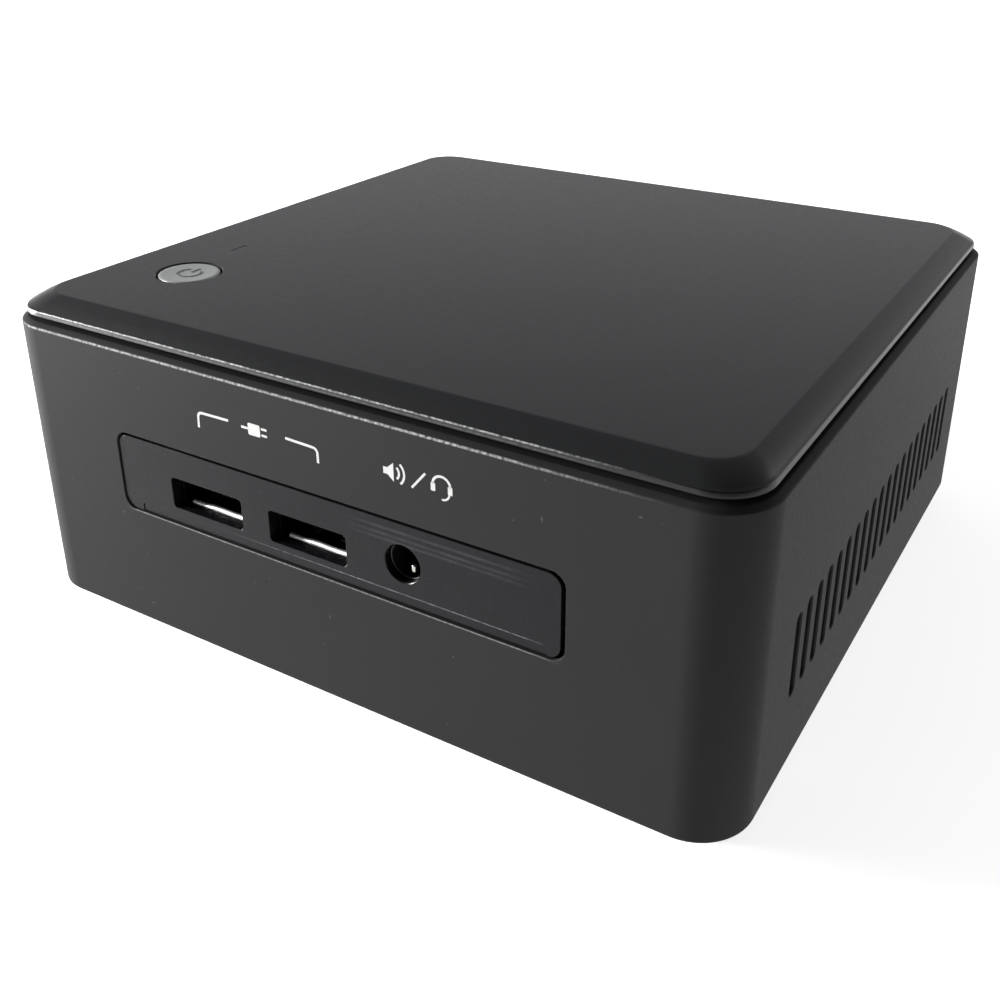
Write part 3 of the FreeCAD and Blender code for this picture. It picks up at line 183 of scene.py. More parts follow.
def ragged_highlight_and_smear(finish, mask, colour, low, high, stretch=(1, 1, 1)):
    """Paint a colour through a mask: a ragged noise lets it through between low and high. It draws
    painted highlights, and the panel's smears.
    """
    noise = finish.pattern(NOISE, 0.5, {"Detail": 3.0}, stretch)["Fac"]
    ragged = finish.span(noise, low, high)
    amount = put(finish.tree, "ShaderNodeMath", links={0: mask, 1: ragged}, operation="MULTIPLY")
    finish.tint(amount.outputs[0], colour)


def case_abs():
    """Case ABS, with painted highlights along the front's top edge and the recess's lower lip,
    drawn ragged.
    """
    finish = spark_eroded_abs("case_abs_spark_eroded", "232323", "272727", 0.52, 0.07)
    # Painted highlight: a near-white ragged line along the front's top edge.
    top_edge_highlight = band(finish, X=(-56, -50, 18, 50), Y=(-56, -55.6, -55.4, -55.2),
                    Z=(46.86, 46.98, 47.14, 47.26))
    ragged_highlight_and_smear(finish, top_edge_highlight, "d4d5d4", 0.0, 0.55)
    # Painted highlight: a pale ragged line along the socket recess's lower lip.
    low_lip_highlight = band(finish, X=(-36, -33, 30, 36.2), Y=(-56, -55.6, -55.4, -55.2),
                   Z=(22.3, 22.4, 22.46, 22.55))
    ragged_highlight_and_smear(finish, low_lip_highlight, "8f908f", 0.2, 0.7)
    return finish.material


def lid_abs():
    """Lid ABS, smoother than the case; its rim is painted near black as shade all round, with
    painted highlight lines along the front.
    """
    finish = spark_eroded_abs("lid_abs_spark_eroded", "131415", "161717", 0.30, 0.42)
    # Painted shade: the rim below the bevel, near black all round.
    finish.tint(band(finish, Z=(45, 48, 49.12, 49.22)), "050506")
    # Painted highlights: a grey line and a near-white line along the front of the rim.
    for level, colour in ((48.7, "606162"), (49.1, "ecedec")):
        line = band(finish, X=(-56, -48, 25, 48), Y=(-56, -55, -54.3, -54.2),
                    Z=(level - 0.11, level - 0.07, level + 0.07, level + 0.11))
        ragged_highlight_and_smear(finish, line, colour, 0.0, 0.45)
    return finish.material


def panel_abs():
    """Panel ABS, semi-gloss: a painted highlight line along its low step, and dull smears from
    plugging in.
    """
    finish = Finish("recess_panel_abs_semi_gloss", "0f0f11", 0.26, IOR=1.5,
                    Specular_IOR_Level=0.16)
    finish.tint(finish.pattern(NOISE, 4.0, {"Detail": 3.0})["Fac"], "131316")
    finish.emboss(finish.pattern(NOISE, 1.2, {"Detail": 2.0})["Fac"], 0.004, 0.4)
    finish.sheen(finish.pattern(NOISE, 1.6)["Fac"], 0.04)
    # Painted highlight: a pale ragged line along the top of the low step.
    step = band(finish, X=(-22, 8, 30, 34), Z=(24.02, 24.1, 24.14, 24.22))
    ragged_highlight_and_smear(finish, step, "8c8d8f", 0.1, 0.6)
    for level in (31.3, 32.0, 32.9):
        smear = band(finish, X=(2, 12, 24, 33),
                     Z=(level - 0.3, level - 0.05, level + 0.05, level + 0.3))
        ragged_highlight_and_smear(finish, smear, "323335", 0.3, 0.8, (0.2, 1, 1))
    return finish.material


def moulded(name, colour, second, roughness, grain_mm, depth_mm, **sockets):
    """Moulded polymer: a faint flow mottle in the colour and a fine skin."""
    finish = Finish(name, colour, roughness, **sockets)
    finish.tint(finish.pattern(NOISE, 4.0, {"Detail": 3.0})["Fac"], second)
    finish.emboss(finish.pattern(NOISE, grain_mm, {"Detail": 2.0})["Fac"], depth_mm, 0.4)
    finish.sheen(finish.pattern(NOISE, 1.6)["Fac"], 0.04)
    return finish.material


def rolled_metal(name, colour, second, roughness, stretch):
    """Rolled or drawn metal: long fine lines, and a cloudy plating."""
    finish = Finish(name, colour, roughness, 1.0)
    finish.tint(finish.pattern(NOISE, 5.0, {"Detail": 3.0})["Fac"], second)
    finish.emboss(finish.pattern(NOISE, 0.25, {"Detail": 2.0}, stretch)["Fac"], 0.004, 0.5)
    finish.sheen(finish.pattern(NOISE, 0.8, {"Detail": 2.0}, stretch)["Fac"], 0.06)
    return finish.material


def silver_paint():
    """Satin silver paint with fine turning marks, as on a turned button."""
    finish = Finish("silver_satin_paint", "a6a8a6", 0.42, 0.35, IOR=1.5)
    # A ring repeats every 20 / (2 pi) of the texture's own units.
    rings = finish.pattern(WAVES, 0.28 * 20 / (2 * math.pi), {"Distortion": 1.5, "Detail": 2.0},
                           shift=(BUTTON_X, BUTTON_Y, 0), wave_type="RINGS",
                           rings_direction="Z")["Fac"]
    finish.emboss(rings, 0.006, 0.5)
    finish.tint(finish.pattern(CELLS, 0.12)["Distance"], "babcb9")
    finish.sheen(finish.pattern(NOISE, 0.5)["Fac"], 0.05)
    return finish.material


def powder_coat():
    """Powder-coated steel: the fine orange peel of baked polyester."""
    finish = Finish("powder_coated_steel", "151516", 0.5, IOR=1.5)
    finish.emboss(finish.pattern(NOISE, 0.7, {"Detail": 1.0})["Fac"], 0.03, 0.6)
    finish.tint(finish.pattern(NOISE, 20.0)["Fac"], "1d1d1e")
    finish.sheen(finish.pattern(NOISE, 1.0)["Fac"], 0.05)
    return finish.material


def solder_mask(name, colour, trace):
    """Glass-epoxy board under solder mask: squared copper runs show through as a lighter tone."""
    finish = Finish(name, colour, 0.35, IOR=1.5)
    runs = finish.pattern("ShaderNodeTexBrick", 1.0, {"Mortar Size": 0.22, "Brick Width": 6.2,
                                                      "Row Height": 1.1, "Mortar Smooth": 0.1})
    finish.tint(runs["Fac"], trace)
    finish.emboss(runs["Fac"], 0.02, 0.5)
    finish.sheen(finish.pattern(NOISE, 3.0)["Fac"], 0.05)
    return finish.material


def worn_rubber():
    """Black silicone rubber: matt, with a fine moulded skin and dust on its foot."""
    finish = Finish("foot_silicone_rubber", "17171a", 0.75, IOR=1.43)
    finish.emboss(finish.pattern(NOISE, 0.5, {"Detail": 3.0})["Fac"], 0.02, 0.5)
    finish.tint(finish.pattern(NOISE, 2.5, {"Detail": 4.0})["Fac"], "242424")
    return finish.material


CASE = case_abs()
LID = lid_abs()
PANEL = panel_abs()
REAR = spark_eroded_abs("rear_abs_spark_eroded", "1d1e1f", "222324", 0.40, 0.4).material
NYLON = moulded("socket_nylon_black", "0d0d0e", "131314", 0.5, 0.3, 0.01, IOR=1.53)
VINYL = moulded("lead_vinyl_black", "101011", "171718", 0.45, 0.5, 0.01, IOR=1.53)
ACETAL = moulded("guide_acetal_natural", "c9c7bd", "d2d0c6", 0.42, 0.5, 0.01, IOR=1.48)
ACRYLIC = moulded("light_pipe_acrylic_smoked", "141416", "19191b", 0.2, 0.3, 0.006, IOR=1.49,
                  Transmission_Weight=0.2)
SILVER = silver_paint()
POWDER = powder_coat()
RUBBER = worn_rubber()
ZINC = rolled_metal("screw_zinc_plated", "b4b6b8", "c4c3bd", 0.32, (1, 1, 1))
# Mouth bars: socket metal painted near white as a painted highlight.
BAR_PAINTED_BRIGHT = rolled_metal("mouth_bar_metal_painted_highlight", "f4f4f2", "e6e6e4", 0.5, (1, 4, 4))
NICKEL = rolled_metal("socket_sheet_nickel_plated", "a9a8a4", "bcbab4", 0.28, (1, 0.08, 1))
BLACK_NICKEL = rolled_metal("socket_sheet_black_nickel", "2a2a2b", "343435", 0.35, (1, 0.08, 1))
TONGUE = moulded("tongue_nylon_grey", "2e2e30", "353537", 0.5, 0.3, 0.01, IOR=1.53)
ENGRAVED = moulded("button_engraving_shaded_silver", "5c5d5c", "686968", 0.5, 0.2, 0.004)
GROUND = rolled_metal("shaft_ground_steel", "9a9c9e", "b0b1b2", 0.22, (1, 1, 0.1))
BRASS = rolled_metal("pin_brass_plated", "b9a06a", "c8b078", 0.25, (1, 0.1, 1))
GOLD = rolled_metal("contact_gold_flash", "c9a24e", "d6b15e", 0.25, (1, 0.1, 1))
COPPER = rolled_metal("cold_plate_copper", "b87256", "c98a6a", 0.3, (0.1, 1, 1))
ALUMINIUM = rolled_metal("fin_aluminium_mill_finish", "b3b5b8", "c3c5c7", 0.34, (0.1, 1, 1))
BOARD = solder_mask("board_solder_mask_dark", "0c1f17", "163226")
CHIP = moulded("chip_epoxy_black", "161617", "1d1d1e", 0.4, 0.15, 0.01, IOR=1.55)
# White printing ink: opaque, slightly thin where the pad lifted off.
INK = moulded("pad_print_ink_white", "b9bab8", "a9aaa8", 0.5, 0.2, 0.004, IOR=1.5)
LAMP = moulded("lamp_lens_amber_green", "5d7a3c", "6f8d47", 0.25, 0.4, 0.004, IOR=1.49)

FINISH_OF_SLOT = {
    "case_plastic": CASE, "panel_plastic": PANEL, "button_plastic": SILVER,
    "guide_plastic": ACETAL, "clear_plastic": ACRYLIC, "cover_steel": POWDER,
    "foot_rubber": RUBBER, "screw_steel": ZINC, "socket_steel": NICKEL,
    "socket_plastic": NYLON, "pin_brass": BRASS, "circuit_board": BOARD, "copper": COPPER,
    "fin_aluminium": ALUMINIUM, "shaft_steel": GROUND}
FINISH_OF_NODE = {
    "top_lid": LID, "rear_io_panel": REAR, "processor": CHIP, "power_switch": ZINC,
    "drive_cage": POWDER, "antenna_lead_left": VINYL, "antenna_lead_right": VINYL,
    "radio_card": NICKEL, "front_port_shell_left": BLACK_NICKEL,
    "front_port_shell_right": BLACK_NICKEL, "front_port_tongue_left": TONGUE,
    "front_port_tongue_right": TONGUE}
for name, item in frame["nodes"].items():
    item.data.materials.clear()
    item.data.materials.append(FINISH_OF_NODE.get(name) or FINISH_OF_SLOT[SLOT_OF[name]])


# ---------------------------------------------------------------- surfaces

def rounded_loop(half_x, half_y, radius, steps=10):
    """Rounded rectangle: four quarter arcs about the corner centres, joined by straight runs."""
    turn = np.arange(4)[:, None] * np.pi / 2 + np.linspace(0, np.pi / 2, steps + 1)
    side_x = np.array([1, -1, -1, 1])[:, None]
    side_y = np.array([1, 1, -1, -1])[:, None]
    x = side_x * (half_x - radius) + radius * np.cos(turn)
    y = side_y * (half_y - radius) + radius * np.sin(turn)
    return np.stack([x.ravel(), y.ravel()], axis=1)


def circle_loop(radius, steps=48):
    """Circle: (r cos t, r sin t)."""
    turn = np.arange(steps) * 2 * np.pi / steps
    return radius * np.stack([np.cos(turn), np.sin(turn)], axis=1)


def skin(loops, levels, around=False):
    """Loop k of plane points lifted to level k; neighbouring loops are joined by quads.

    The end loops are capped, or joined to each other when the skin runs `around`.
    """
    flat = np.asarray(loops, dtype=float)
    high = np.broadcast_to(np.asarray(levels, dtype=float)[:, None, None], flat.shape[:2] + (1,))
    points = np.concatenate([flat, high], axis=2)
    count, size = points.shape[:2]
    first = np.arange(count if around else count - 1)[:, None] * size
    here, after = np.arange(size)[None, :], (np.arange(size)[None, :] + 1) % size
    above = (first + size) % (count * size)
    faces = np.stack([first + here, first + after, above + after, above + here], -1)
    faces = faces.reshape(-1, 4).tolist()
    if not around:
        last = (count - 1) * size
        faces += [list(range(size))[::-1], list(range(last, last + size))]
    return points.reshape(-1, 3), faces


def pebble(half_x, half_y, low, high, corner, edge=0.1, steps=5):
    """Block whose upright corners have radius `corner` and whose rims have radius `edge`."""
    turn = np.linspace(0, np.pi / 2, 4)
    inset = np.concatenate([edge * (1 - np.sin(turn)), edge * (1 - np.cos(turn))])
    level = np.concatenate([low + edge * (1 - np.cos(turn)), high - edge * (1 - np.sin(turn))])
    loops = [rounded_loop(half_x - e, half_y - e, max(corner - e, 0.01), steps) for e in inset]
    return skin(loops, level)


def revolve(radii, levels, steps=48):
    """Profile of radius against level, turned once round the upright axis."""
    return skin([circle_loop(r, steps) for r in radii], levels)


def tube(path, radius, steps=10):
    """Circle carried square to a path of points."""
    path = np.asarray(path, dtype=float)
    ahead = np.gradient(path, axis=0)
    ahead /= np.linalg.norm(ahead, axis=1, keepdims=True)
    spare = np.where(np.abs(ahead[:, :1]) < 0.9, [[1.0, 0, 0]], [[0, 1.0, 0]])
    side = np.cross(ahead, spare)
    side /= np.linalg.norm(side, axis=1, keepdims=True)
    up = np.cross(ahead, side)
    ring = circle_loop(radius, steps)
    points = path[:, None] + ring[:, :1] * side[:, None] + ring[:, 1:] * up[:, None]
    _, faces = skin(points[..., :2], np.zeros(len(path)))
    return points.reshape(-1, 3), faces


def stroke(path, width, low, high):
    """Line of constant width along a plane path, as a thin slab from low to high."""
    path = np.asarray(path, dtype=float)
    ahead = np.gradient(path, axis=0)
    ahead /= np.linalg.norm(ahead, axis=1, keepdims=True)
    side = np.stack([-ahead[:, 1], ahead[:, 0]], axis=1) * width / 2
    outline = np.concatenate([path + side, (path - side)[::-1]])
    return skin([outline, outline], [low, high])


def arc(cx, cy, radius, start, end, steps=14):
    """Points on a circle from one angle in degrees to another."""
    turn = np.radians(np.linspace(start, end, steps))
    return np.stack([cx + radius * np.cos(turn), cy + radius * np.sin(turn)], axis=1)


def leaf(width, thick, run, rise):
    """Bent strip: its middle line rises as rise * sin(pi s) over the run, with a flat section."""
    s = np.linspace(0, 1, 13)
    y, z = run * s, rise * np.sin(np.pi * s)
    corners = np.array([(-1, 0), (1, 0), (1, 1), (-1, 1)], dtype=float)
    x = np.broadcast_to(corners[:, 0] * width / 2, (13, 4))
    up = z[:, None] + corners[:, 1] * thick
    points = np.stack([x, np.broadcast_to(y[:, None], (13, 4)), up], axis=2)
    _, faces = skin(points[..., :2], np.zeros(13))
    return points.reshape(-1, 3), faces


def moved(part, x=0.0, y=0.0, z=0.0):
    """A part shifted by a vector."""
    return part[0] + np.array([x, y, z]), part[1]


# A part's own (across, up, out) becomes world (x, y, z): how each face of the case is met.
FRONT = np.array([[1, 0, 0], [0, 0, 1], [0, -1, 0]], dtype=float)
REAR_FACE = np.array([[-1, 0, 0], [0, 0, 1], [0, 1, 0]], dtype=float)
RIGHT = np.array([[0, 1, 0], [0, 0, 1], [1, 0, 0]], dtype=float)
LEFT = np.array([[0, -1, 0], [0, 0, 1], [-1, 0, 0]], dtype=float)
DOWN = np.array([[1, 0, 0], [0, -1, 0], [0, 0, -1]], dtype=float)


def faced(part, face, x=0.0, y=0.0, z=0.0):
    """A part turned to a face of the case and put at a point."""
    return part[0] @ face + np.array([x, y, z]), part[1]


def gather(parts):
    """Several parts as one set of points and faces."""
    points, faces, offset = [], [], 0
    for part_points, part_faces in parts:
        points.append(part_points)
        faces += [[index + offset for index in face] for face in part_faces]
        offset += len(part_points)
    return np.concatenate(points), faces


def solid(name, parts):
    """Object in metres from parts in millimetres, its faces turned outwards."""
    points, faces = gather(parts)
    mesh = bpy.data.meshes.new(name)
    mesh.from_pydata((points * MM).tolist(), [], faces)
    work = bmesh.new()
    work.from_mesh(mesh)
    bmesh.ops.recalc_face_normals(work, faces=work.faces)
    work.to_mesh(mesh)
    work.free()
    item = bpy.data.objects.new(name, mesh)
    bpy.context.scene.collection.objects.link(item)
    return item


def carve(item, parts):
    """Cut closed parts out of an object."""
    cutter = solid("cutter", parts)
    change = item.modifiers.new("cut", "BOOLEAN")
    change.operation, change.solver, change.object = "DIFFERENCE", "EXACT", cutter
    seen = item.evaluated_get(bpy.context.evaluated_depsgraph_get())
    mesh = bpy.data.meshes.new_from_object(seen)
    item.modifiers.clear()
    item.data = mesh
    bpy.data.objects.remove(cutter)


def finish_piece(item, material, slot, body=CHASSIS, stands_for=(), sharp=38):
    """Give a piece its material, smooth shading between sharp edges, and its body; its slot is not
    used.
    """
    item.data.materials.clear()
    item.data.materials.append(material)
    item.data.polygons.foreach_set("use_smooth", [True] * len(item.data.polygons))
    item.data.set_sharp_from_angle(angle=math.radians(sharp))
    weigh = item.modifiers.new("weighted_normals", "WEIGHTED_NORMAL")
    weigh.keep_sharp = True
    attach(item, body)
    if stands_for:
        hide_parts(*stands_for)
    return item


def piece(name, parts, material, slot, **options):
    """Piece made straight from its parts."""
    return finish_piece(solid(name, parts), material, slot, **options)


# ---------------------------------------------------------------- case and lid

def flared_slot(width, height, deep, lip=0.18):
    """Cutter for a round-ended slot, widened towards the surface in a 45 degree lip."""
    sizes = np.array([lip + 0.1, 0.0, 0.0])
    loops = [rounded_loop(width / 2 + s, height / 2 + s, width / 2 + s - 0.001, 8) for s in sizes]
    return skin(loops, [0.1, -lip, -deep])


def flared_window(half_x, half_y, radius, deep, lip=0.2):
    """Cutter for a rounded rectangle whose mouth is rounded over by `lip`."""
    turn = np.linspace(0, np.pi / 2, 5)
    grow = np.concatenate([[lip], lip * (1 - np.sin(turn)), [0.0]])
    level = np.concatenate([[0.2], -lip * (1 - np.cos(turn)), [-deep]])
    loops = [rounded_loop(half_x + g, half_y + g, radius + g) for g in grow]
    return skin(loops, level)


def sleeve_profile():
    """Case section as (inset, level): up the inside, round the foot, up the wall, over the brow."""
    turn = np.linspace(0, np.pi / 2, 6)
    base = [(0.5 * (1 - np.sin(t)), FLOOR_GAP + 0.5 * (1 - np.cos(t))) for t in turn]
    brow = [(0.0, 47.0), (0.03, 47.12), (0.1, 47.22), (0.22, 47.31), (0.8, 47.68), (1.0, 47.72)]
    return [(1.8, DECK_TOP - 1.8), (1.8, FLOOR_GAP)] + base + brow


def make_case():
    """Case: the section above carried round a rounded rectangle, then the openings cut."""
    insets, levels = np.array(sleeve_profile()).T
    loops = [rounded_loop(HALF_X - e, HALF_Y - 0.005 - e, CORNER - e, 16) for e in insets]
    case = solid("case_sleeve", [skin(loops, levels)])
    cuts = []
    for y in 17.9 - HALF_Y + 4.0 * np.arange(20):
        slot = flared_slot(1.9, 11.8, 3.0)
        cuts += [faced(slot, RIGHT, HALF_X, y, 20.8), faced(slot, LEFT, -HALF_X, y, 20.8)]
    cuts.append(faced(flared_window(35.9, 6.05, 2.0, 3.0, 0.12), FRONT, 0, -HALF_Y, PANEL_Z))
    cuts.append(faced(flared_window(46.2, 15.8, 1.2, 3.0), REAR_FACE, 0, HALF_Y, 29.0))
    cuts.append(faced(flared_window(3.5, 1.5, 0.4, 3.0), LEFT, -HALF_X, HALF_Y - 17.5, 38.0))
    carve(case, cuts)
    finish_piece(case, CASE, "case_plastic", stands_for=("chassis_shell",))

    posts = []
    for x, y in CORNERS:
        posts.append(moved(revolve([1.25, 3.0, 3.2, 3.2, 3.2, 1.25, 1.25],
                                   [5.0, 5.0, 5.2, 30.0, 46.2, 46.2, 14.0], 28), x, y))
    piece("case_screw_posts", posts, CASE, "case_plastic")


def make_lid():
    """Lid: rim, crowned bevel and flat top in one section carried round a rounded rectangle.

    The bevel's level is t + 0.3 t (1 - t) of its rise at t of its width, a shallow crown.
    """
    t = np.linspace(0, 1, 12)
    rise, run = 1.72, 2.95
    bevel = np.stack([1.32 + run * t, 49.25 + rise * (t + 0.3 * t * (1 - t))], axis=1)
    section = np.concatenate([
        [(4.6, 49.4), (4.4, 49.2), (4.4, LID_LOW), (1.3, LID_LOW), (1.1, 48.34), (1.0, 48.5),
         (1.08, 49.0), (1.12, 49.12), (1.2, 49.2)],
        bevel, [(4.42, 50.99), (4.6, LID_TOP)]])
    loops = [rounded_loop(HALF_X - e, HALF_Y - e, 6.3 - (e - 1.0) * 0.38, 16)
             for e in section[:, 0]]
    lid = solid("lid_skin", [skin(loops, section[:, 1])])
    hole = revolve([4.85, 4.85, 5.05, 5.05], [48.0, LID_TOP - 0.2, LID_TOP, LID_TOP + 0.3], 72)
    slit = skin([rounded_loop(0.4, 1.75, 0.399, 8)] * 2, [48.0, 52.0])
    carve(lid, [moved(hole, BUTTON_X, BUTTON_Y), moved(slit, LIGHT_X, LIGHT_Y)])
    finish_piece(lid, LID, "case_plastic", stands_for=("top_lid",), sharp=28)

    hooks = []
    for x in (-38.0, 38.0):
        for side in (-1, 1):
            hooks.append(moved(pebble(4.0, 0.6, 44.9, 49.5, 0.2), x, side * 46.5))
            hooks.append(moved(pebble(4.0, 0.5, 44.9, 45.8, 0.2), x, side * 47.5))
    piece("lid_hooks", hooks, LID, "case_plastic")


def make_button():
    """Button: a cap with a soft rim and a shallow dish, its collar and its plunger, turned once."""
    r = np.linspace(0.05, 4.2, 14)
    dish = LID_TOP - 0.12 + 0.08 * (r / 4.2) ** 2
    turn = np.linspace(0, np.pi / 2, 6)
    rim_r = 4.28 + 0.32 * np.sin(turn)
    rim_z = LID_TOP - 0.37 + 0.32 * np.cos(turn)
    radii = np.concatenate([[1.9, 2.0, 2.0, 5.4, 5.6, 5.6, 4.6], rim_r[::-1], r[::-1]])
    levels = np.concatenate([[36.1, 36.2, 48.45, 48.45, 48.55, 49.35, 49.35], rim_z[::-1],
                             dish[::-1]])
    piece("power_button_cap", [moved(revolve(radii, levels, 72), BUTTON_X, BUTTON_Y)], SILVER,
          "button_plastic", body=BUTTON, stands_for=("power_button",))
    top = LID_TOP - 0.115
    sign = [stroke(arc(0, 0, 1.75, 128, 412, 40), 0.34, top, top + 0.06),
            stroke(np.array([(0, 0.35), (0, 2.25)]), 0.34, top, top + 0.06)]
    piece("power_button_symbol", [moved(part, BUTTON_X, BUTTON_Y) for part in sign], ENGRAVED,
          "button_plastic", body=BUTTON)


# ---------------------------------------------------------------- sockets

def bowed_spring(x, y, z, width, run, rise, inward):
    """Leaf spring on a socket's floor, bowed up; it runs from y to y + inward * run."""
    points, faces = leaf(width, 0.16, run, rise)
    return points * np.array([1.0, inward, 1.0]) + np.array([x, y, z]), faces


def tongue_strips(x, y, z, inward, length=7.5):
    """Four contact strips under a tongue, on the socket standard's 2.5, 2.0, 2.5 mm pitches."""
    strips = []
    for offset in (-3.5, -1.0, 1.0, 3.5):
        strip = pebble(0.5, length / 2, z - 0.12, z + 0.02, 0.2, 0.04)
        strips.append(moved(strip, x + offset, y + inward * length / 2))
    return strips


def make_front_panel():
    """Panel nearly flush in the case's opening, a plate with a rounded rim and a low step.

    It stands 0.5 mm short of the opening at the top and 0.7 mm at the right, which leaves a
    black line there. The step is a strip along the foot, 0.12 mm further back.
    """
    plate = pebble(35.9 - 0.38, 6.05 - 0.28, -1.9, 0.0, 1.75, 0.1, 8)
    step = pebble(33.0, 0.8, -0.12, 0.3, 0.3, 0.04, 4)
    panel = solid("front_socket_panel",
                  [faced(moved(plate, -0.32, -0.22), FRONT, 0, PANEL_FRONT, PANEL_Z)])
    openings = [faced(flared_window(6.4, 2.325, 0.6, 4.0, 0.1), FRONT, x, PANEL_FRONT, SOCKET_Z)
                for x in SOCKET_X]
    openings.append(faced(revolve([2.65, 2.65, 2.75, 2.75], [-4.0, -0.1, 0.0, 0.2], 64), FRONT,
                          JACK_X, PANEL_FRONT, JACK_Z))
    openings.append(faced(moved(step, 0.4, -5.5), FRONT, 0, PANEL_FRONT, PANEL_Z))
    carve(panel, openings)
    finish_piece(panel, PANEL, "panel_plastic", stands_for=("front_io_bezel",))
    lip = faced(pebble(37.9, 8.0, 0.0, 0.5, 2.0, 0.1, 6), FRONT, 0, -53.1, PANEL_Z)
    back = solid("front_panel_lip", [lip])
    carve(back, openings[:3])
    finish_piece(back, NYLON, "panel_plastic")


def make_front_sockets():
    """Mouth bars, springs and contacts in the two front sockets, and the jack's well.

    A bar's level is 25.25 + 0.05 cos s at s from its socket's middle, a faint wave.
    """
    bars, springs, contacts = [], [], []
    for x in SOCKET_X:
        s = np.linspace(-4.9, 6.1, 23)
        bars.append(tube(np.stack([x + s, np.full(23, -52.85), 25.25 + 0.05 * np.cos(s)], axis=1),
                         0.4, 10))
        bars.append(tube(np.array([(x - 6.0, -52.8, 29.9), (x - 6.0, -52.8, 29.2),
                                   (x - 6.0, -52.8, 28.3)]), 0.16, 8))
        springs += [bowed_spring(x + side * 3.1, -50.8, 25.3, 2.6, 8.0, 0.5, 1)
                    for side in (-1, 1)]
        contacts += tongue_strips(x, -50.0, 27.05, 1)
    piece("front_socket_mouth_bars", bars, BAR_PAINTED_BRIGHT, "socket_steel")
    piece("front_socket_springs", springs, NICKEL, "socket_steel")
    piece("front_socket_contacts", contacts, GOLD, "pin_brass")
    well = skin([circle_loop(r) for r in (2.6, 2.5, 2.45, 1.8, 1.8, 3.1, 3.1, 2.6)],
                [-1.2, -1.25, -5.4, -5.6, -13.2, -13.2, -2.0, -2.0], around=True)
    block = pebble(3.3, 2.6, -14.0, -2.2, 0.3, 0.1)
    mouth = (JACK_X, PANEL_FRONT, JACK_Z)
    jack = solid("headset_jack_body", [faced(block, FRONT, *mouth)])
    carve(jack, [faced(skin([circle_loop(3.15)] * 2, [-13.3, 2.0]), FRONT, *mouth)])
    finish_piece(jack, NYLON, "socket_plastic", stands_for=("headset_jack",))
    piece("headset_jack_well", [faced(well, FRONT, *mouth)], NYLON, "socket_plastic")
    nib = faced(pebble(0.3, 0.5, -0.2, 0.3, 0.28, 0.12), FRONT, JACK_X + 0.95, -54.0, JACK_Z - 0.9)
    piece("headset_jack_contact", [nib], NICKEL, "socket_steel")


def make_rear_sockets():
    """Contacts, springs and lamps of the rear sockets.

    A network wire is the parabola (1 - s)^2 a + 2 s (1 - s) b' + s^2 c from its start a to its
    end c, where b' = 2 b - (a + c) / 2 takes it through its knee b.
    """
    s = np.linspace(0, 1, 14)[:, None]
    wires = []
    for k in range(8):
        x = NETWORK_X + (k - 3.5) * 1.02
        start, knee = np.array([x, 42.5, 29.3]), np.array([x, 47.0, 29.4])
        end = np.array([x, 44.5, 25.7])
        bend = 2 * knee - (start + end) / 2
        path = (1 - s) ** 2 * start + 2 * s * (1 - s) * bend + s ** 2 * end
        wires.append(tube(path, 0.2, 8))
    piece("network_jack_wires", wires, GOLD, "pin_brass")
    lamps = [faced(pebble(1.5, 0.9, -0.5, 0.12, 0.3, 0.1), REAR_FACE, x, REAR_PLANE - 0.25, 30.4)
             for x in (-7.4, 3.4)]
    piece("network_jack_lamps", lamps, LAMP, "clear_plastic")
    contacts = []
    for z in (18.72, 28.6):
        contacts += tongue_strips(STACK_X, 53.2, z, -1)
    piece("rear_socket_contacts", contacts, GOLD, "pin_brass")
    springs = []
    for z in (16.3, 26.05):
        springs += [bowed_spring(STACK_X + side * 3.1, 54.2, z, 2.6, 9.0, 0.5, -1)
                    for side in (-1, 1)]
    piece("rear_socket_springs", springs, NICKEL, "socket_steel")
    pads = []
    for k in range(10):
        for low, high in ((28.15, 28.22), (26.88, 26.95)):
            pads.append(moved(pebble(0.2, 3.0, low, high, 0.1, 0.03), VIDEO_X + k - 4.5, 50.4))
    piece("video_socket_contacts", pads, GOLD, "pin_brass")


# ---------------------------------------------------------------- printing, all generic signs

def bar(start, end, width):
    """Straight printed line between two points."""
    return stroke(np.array([start, end]), width, *INK_DEPTH)


def patch(half_x, half_z, radius, steps, x, z):
    """Printed rounded rectangle."""
    return moved(skin([rounded_loop(half_x, half_z, radius, steps)] * 2, INK_DEPTH), x, z)


def sign_plug(x, z, size):
    """Plug seen from the side: a lead, a body and two prongs."""
    prongs = [patch(0.34 * size, 0.12 * size, 0.03, 2, x + 0.95 * size, z + side * 0.33 * size)
              for side in (1, -1)]
    return [bar((x - 1.9 * size, z), (x - 1.0 * size, z), 0.34),
            patch(0.75 * size, 0.62 * size, 0.15 * size, 4, x - 0.3 * size, z)] + prongs


def sign_loudspeaker(x, z):
    """Loudspeaker: a box, a cone and two sound arcs."""
    cone = np.array([(-1.5, -0.45), (-1.5, 0.45), (-0.9, 0.45), (0.0, 1.25), (0.0, -1.25),
                     (-0.9, -0.45)])
    waves = [stroke(arc(x - 0.2, z, r, -48, 48), 0.3, *INK_DEPTH) for r in (1.0, 1.75)]
    return [moved(skin([cone, cone], INK_DEPTH), x, z)] + waves


def sign_headset(x, z):
    """Headset: a band over two ear cups, and a mouthpiece on its arm."""
    cups = [patch(0.32, 0.55, 0.15, 4, x + side * 1.2, z - 0.35) for side in (-1, 1)]
    return cups + [stroke(arc(x, z, 1.25, 5, 175, 22), 0.32, *INK_DEPTH),
                   stroke(arc(x + 0.1, z - 0.75, 1.0, -95, -10), 0.26, *INK_DEPTH)]


